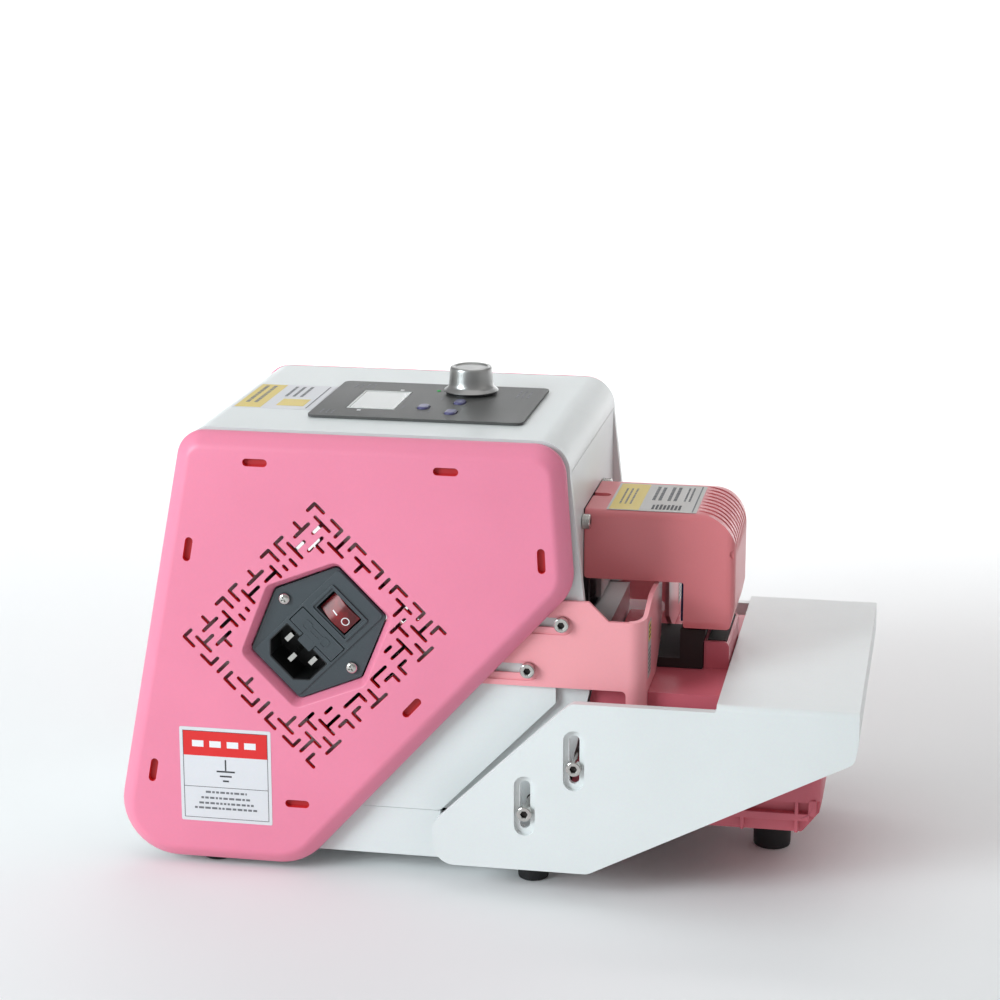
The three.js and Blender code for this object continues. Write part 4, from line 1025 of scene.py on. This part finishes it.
def cover_label():
    """The sticker low on the near cover: a red band, a thin frame, an earth sign and bars for print."""
    corners = [(-128.2, 22.2), (-88.4, 22.2), (-88.4, 64.2), (-128.2, 64.2)]

    def side_marks(name, rects, level, material):
        finish(bars_object(name, "y", rects, -level, -level - 0.04), "root", material)

    x0, z0, x1, z1 = corners[0][0], corners[0][1], corners[2][0], corners[2][1]
    # The cover's face is at 74, which is inside the table's half width of 80.
    base = prism("label_cover", "y", outline([(*c, 0.7) for c in corners], 4), -74.12, -74.01)
    finish(base, "root", LABEL)
    side_marks("label_cover_band", [(x0 + 1.6, x1 - 1.6, z1 - 12.6, z1 - 1.6)], 74.12, MARK_RED)
    frame_bars = [(x0 + 1.4, x1 - 1.4, z1 - 1.7, z1 - 1.5), (x0 + 1.4, x1 - 1.4, z0 + 1.5, z0 + 1.7),
                  (x0 + 1.4, x0 + 1.6, z0 + 1.5, z1 - 1.5), (x1 - 1.6, x1 - 1.4, z0 + 1.5, z1 - 1.5),
                  (x0 + 1.4, x1 - 1.4, z1 - 26.6, z1 - 26.4)]
    side_marks("label_cover_frame", frame_bars, 74.16, MARK_DARK)
    mid = (x0 + x1) / 2
    earth = [(mid - 0.3, mid + 0.3, z1 - 18.8, z1 - 13.9), (mid - 4, mid + 4, z1 - 19.6, z1 - 18.9),
             (mid - 2.6, mid + 2.6, z1 - 21.7, z1 - 21), (mid - 1.3, mid + 1.3, z1 - 23.8, z1 - 23.1)]
    side_marks("label_cover_sign", earth, 74.16, MARK_DARK)
    header = [(x0 + 5.5 + 7.6 * k, x0 + 10.5 + 7.6 * k, z1 - 8.6, z1 - 5.8) for k in range(4)]
    side_marks("label_cover_header", header, 74.18, MARK_WHITE)
    rows = []
    for z, half in ((z1 - 29.2, 9), (z1 - 31.8, 11), (z1 - 34.2, 12), (z1 - 36.4, 14)):
        x = mid - half
        while x < mid + half - 0.5:
            length = min(random.uniform(0.9, 2.4), mid + half - x)
            rows.append((x, x + length, z, z + 0.9))
            x += length + 0.6
    side_marks("label_cover_print", rows, 74.16, MARK_GREY)


cover_label()


def gauge_label(side, sign_y):
    """The upright sticker on the stop's front face."""
    y0, y1 = sorted((sign_y * 58.4, sign_y * 49.4))
    bars = [(y0 + 1, y1 - 1, 94 + 1.9 * k, 94.8 + 1.9 * k) for k in range(6)]
    dark = [(y0 + 2, y1 - 2, 109 + 2 * k, 109.8 + 2 * k) for k in range(3)]
    for part, rects, low, high, material in (
            ("", [(y0, y1, 92, 116)], 68.32, 68.42, LABEL_GREY), ("print_", bars, 68.42, 68.46, MARK_GREY),
            ("patch_", [(y0 + 1, y1 - 1, 107.6, 114.8)], 68.42, 68.46, MARK_YELLOW),
            ("bars_", dark, 68.46, 68.49, MARK_DARK)):
        finish(bars_object(f"label_gauge_{part}{side}", "x", rects, low, high), f"{side}_gauge", material)


for side, sign_y in SIDES:
    gauge_label(side, sign_y)

# ---- Feet ----


def foot(name, x, y, radius, top, node):
    profile = [(radius - 2.4, 0.35), (radius - 1.9, 0), (radius - 1.0, 0), (radius - 0.45, 0.35),
               (radius - 0.25, 1.0),
               (radius, top - 1.2), (radius - 0.1, top - 0.5), (radius - 0.6, top)]
    obj = lathe(name, profile, (x, y), "z", 56)
    return finish(obj, "root", RUBBER, [node], angle=50)


for side, sign_y in SIDES:
    foot(f"foot_rear_{side}", -117.6, sign_y * 57, 6.7, 8.7, f"rear_foot_{side}")
    foot(f"foot_middle_{side}", 20.4, sign_y * 55, 6.7, 8.7, f"middle_foot_{side}")
foot("foot_front", 117, 0, 8.3, 11.7, "front_foot")

# ---- Return spring ----


def spring(bm):
    """A coil of round wire with closed, flattened ends."""
    wire, radius, low, high, turns = 0.6, 4.28, 122.95, 133.65, 6.5
    steps = int(turns * 32)
    rings = []
    for k in range(steps + 1):
        share = k / steps
        rise = min(max((share - 0.12) / 0.76, 0), 1)
        t = 2 * math.pi * turns * share
        centre = Vector((RAM_X + radius * math.cos(t), radius * math.sin(t), low + (high - low) * rise))
        out = Vector((math.cos(t), math.sin(t), 0))
        rings.append([centre + out * wire * math.cos(a) + Vector((0, 0, wire * math.sin(a)))
                      for a in (2 * math.pi * j / 10 for j in range(10))])
    add_loft(bm, rings)


coil = mesh_object("spring_coil", spring)
finish(coil, "root", CHROME, ["return_spring"], angle=60)
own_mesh(coil)

# ---- CAD nodes that stay, each with a finish and softened edges ----

KEPT = {
    "base_pan": (WHITE, 0.5), "front_chassis": (WHITE, 0.4), "front_panel": (WHITE, 0.3),
    "earth_pin": (CHROME, 0.25), "live_pin": (CHROME, 0.25), "neutral_pin": (CHROME, 0.25),
    "frame_plate_right": (STEEL, 0.25), "frame_plate_left": (STEEL, 0.25),
    "head_back_plate": (DARK_STEEL, 0.25),
    "ram_guide": (STEEL, 0.3), "ram": (STEEL, 0.3), "punch_blade": (CHROME, 0.15),
    "rocker_lever": (STEEL, 0.3),
    "pivot_shaft": (CHROME, 0.3), "lever_spacer_right": (ALUMINIUM, 0.2),
    "lever_spacer_left": (ALUMINIUM, 0.2),
    "solenoid_yoke": (STEEL, 0.4), "solenoid_coil": (COPPER, 0.3), "solenoid_plunger": (STEEL, 0.2),
    # The die insert's dark steel is painted shade: it sits in the shadow under the head.
    "anvil_post": (STEEL, 0.3), "die_insert": (SHADE_STEEL, 0.2), "throat_block": (DARK_BLOCK, 0.3),
    "control_board": (BOARD, 0.1), "power_board": (BOARD, 0.2),
}
for node, (material, width) in KEPT.items():
    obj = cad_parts[node]
    obj.data.materials.clear()
    obj.data.materials.append(material)
    bevel = obj.modifiers.new("edges", "BEVEL")
    bevel.width = width * MM
    bevel.segments = 2
    bevel.limit_method = "ANGLE"
    bevel.angle_limit = math.radians(35)
    bevel.use_clamp_overlap = True

# ---- Floor, light and camera ----


def floor_material():
    material, nodes, links, bsdf = shader("floor")
    coords = nodes.new("ShaderNodeTexCoord")
    noise = nodes.new("ShaderNodeTexNoise")
    noise.inputs["Scale"].default_value = 3
    links.new(coords.outputs["Object"], noise.inputs["Vector"])
    tint = nodes.new("ShaderNodeValToRGB")
    tint.color_ramp.elements[0].color = (0.86, 0.865, 0.87, 1)
    tint.color_ramp.elements[1].color = (0.9, 0.905, 0.91, 1)
    links.new(noise.outputs["Fac"], tint.inputs["Fac"])
    links.new(tint.outputs["Color"], bsdf.inputs["Base Color"])
    bsdf.inputs["Roughness"].default_value = 0.9
    return material


def backdrop(bm):
    """A wide floor sheet that curves up far behind the part."""
    rows = []
    for y, z in ((-4, 0), (2.2, 0), (2.7, 0.06), (3.1, 0.26), (3.35, 0.6), (3.45, 1.1), (3.5, 4)):
        rows.append([bm.verts.new((x * 1000, y * 1000, z * 1000)) for x in (-6, -3, 0, 3, 6)])
    for low, high in zip(rows, rows[1:]):
        for i in range(4):
            bm.faces.new((low[i], low[i + 1], high[i + 1], high[i]))


floor = mesh_object("floor", backdrop)
floor.data.shade_smooth()
floor.data.materials.append(floor_material())


def area_light(name, azimuth, elevation, distance, size, power, colour, aim=None, spread=180):
    """A square soft light, placed by view angles and aimed at the middle of the part or at another point."""
    a, e = math.radians(azimuth), math.radians(elevation)
    target = Vector((0, 0, 0.09))
    at = target + distance * Vector((math.sin(a) * math.cos(e), -math.cos(a) * math.cos(e), math.sin(e)))
    light = bpy.data.lights.new(name, "AREA")
    light.shape = "SQUARE"
    light.size = size
    light.energy = power
    light.color = colour
    light.spread = math.radians(spread)
    obj = bpy.data.objects.new(name, light)
    obj.location = at
    look = Vector(aim) if aim else target
    obj.rotation_euler = (look - at).to_track_quat("-Z", "Y").to_euler()
    bpy.context.scene.collection.objects.link(obj)


area_light("key", -46, 20, 1.7, 0.7, 22, (0.87, 0.97, 1.0))
area_light("top", 20, 78, 1.6, 1.6, 3.6, (1.0, 0.99, 0.98))
area_light("side", 75, 20, 2.0, 1.4, 1.0, (1.0, 0.97, 0.93))
area_light("floor_glow", 180, 34, 3.4, 3.4, 105, (1.0, 1.0, 1.0), (0, 2.82, 0), 90)

world = bpy.data.worlds.new("studio")
world.use_nodes = True
world.node_tree.nodes["Background"].inputs["Color"].default_value = (1.0, 1.0, 1.0, 1)
world.node_tree.nodes["Background"].inputs["Strength"].default_value = 0.38
bpy.context.scene.world = world
bpy.context.scene.view_settings.view_transform = "Standard"

camera = bpy.data.cameras.new("camera")
camera.lens = 91.8
camera.sensor_width = 36
camera.clip_start = 0.05
camera.clip_end = 50
azimuth, elevation = math.radians(10.6), math.radians(14.6)
forward = Vector((-math.sin(azimuth) * math.cos(elevation), math.cos(azimuth) * math.cos(elevation),
                  -math.sin(elevation)))
eye = bpy.data.objects.new("camera", camera)
eye.location = (0.1919, -1.0486, 0.4275)
eye.rotation_euler = forward.to_track_quat("-Z", "Y").to_euler()
bpy.context.scene.collection.objects.link(eye)
bpy.context.scene.camera = eye

bpy.context.view_layer.update()
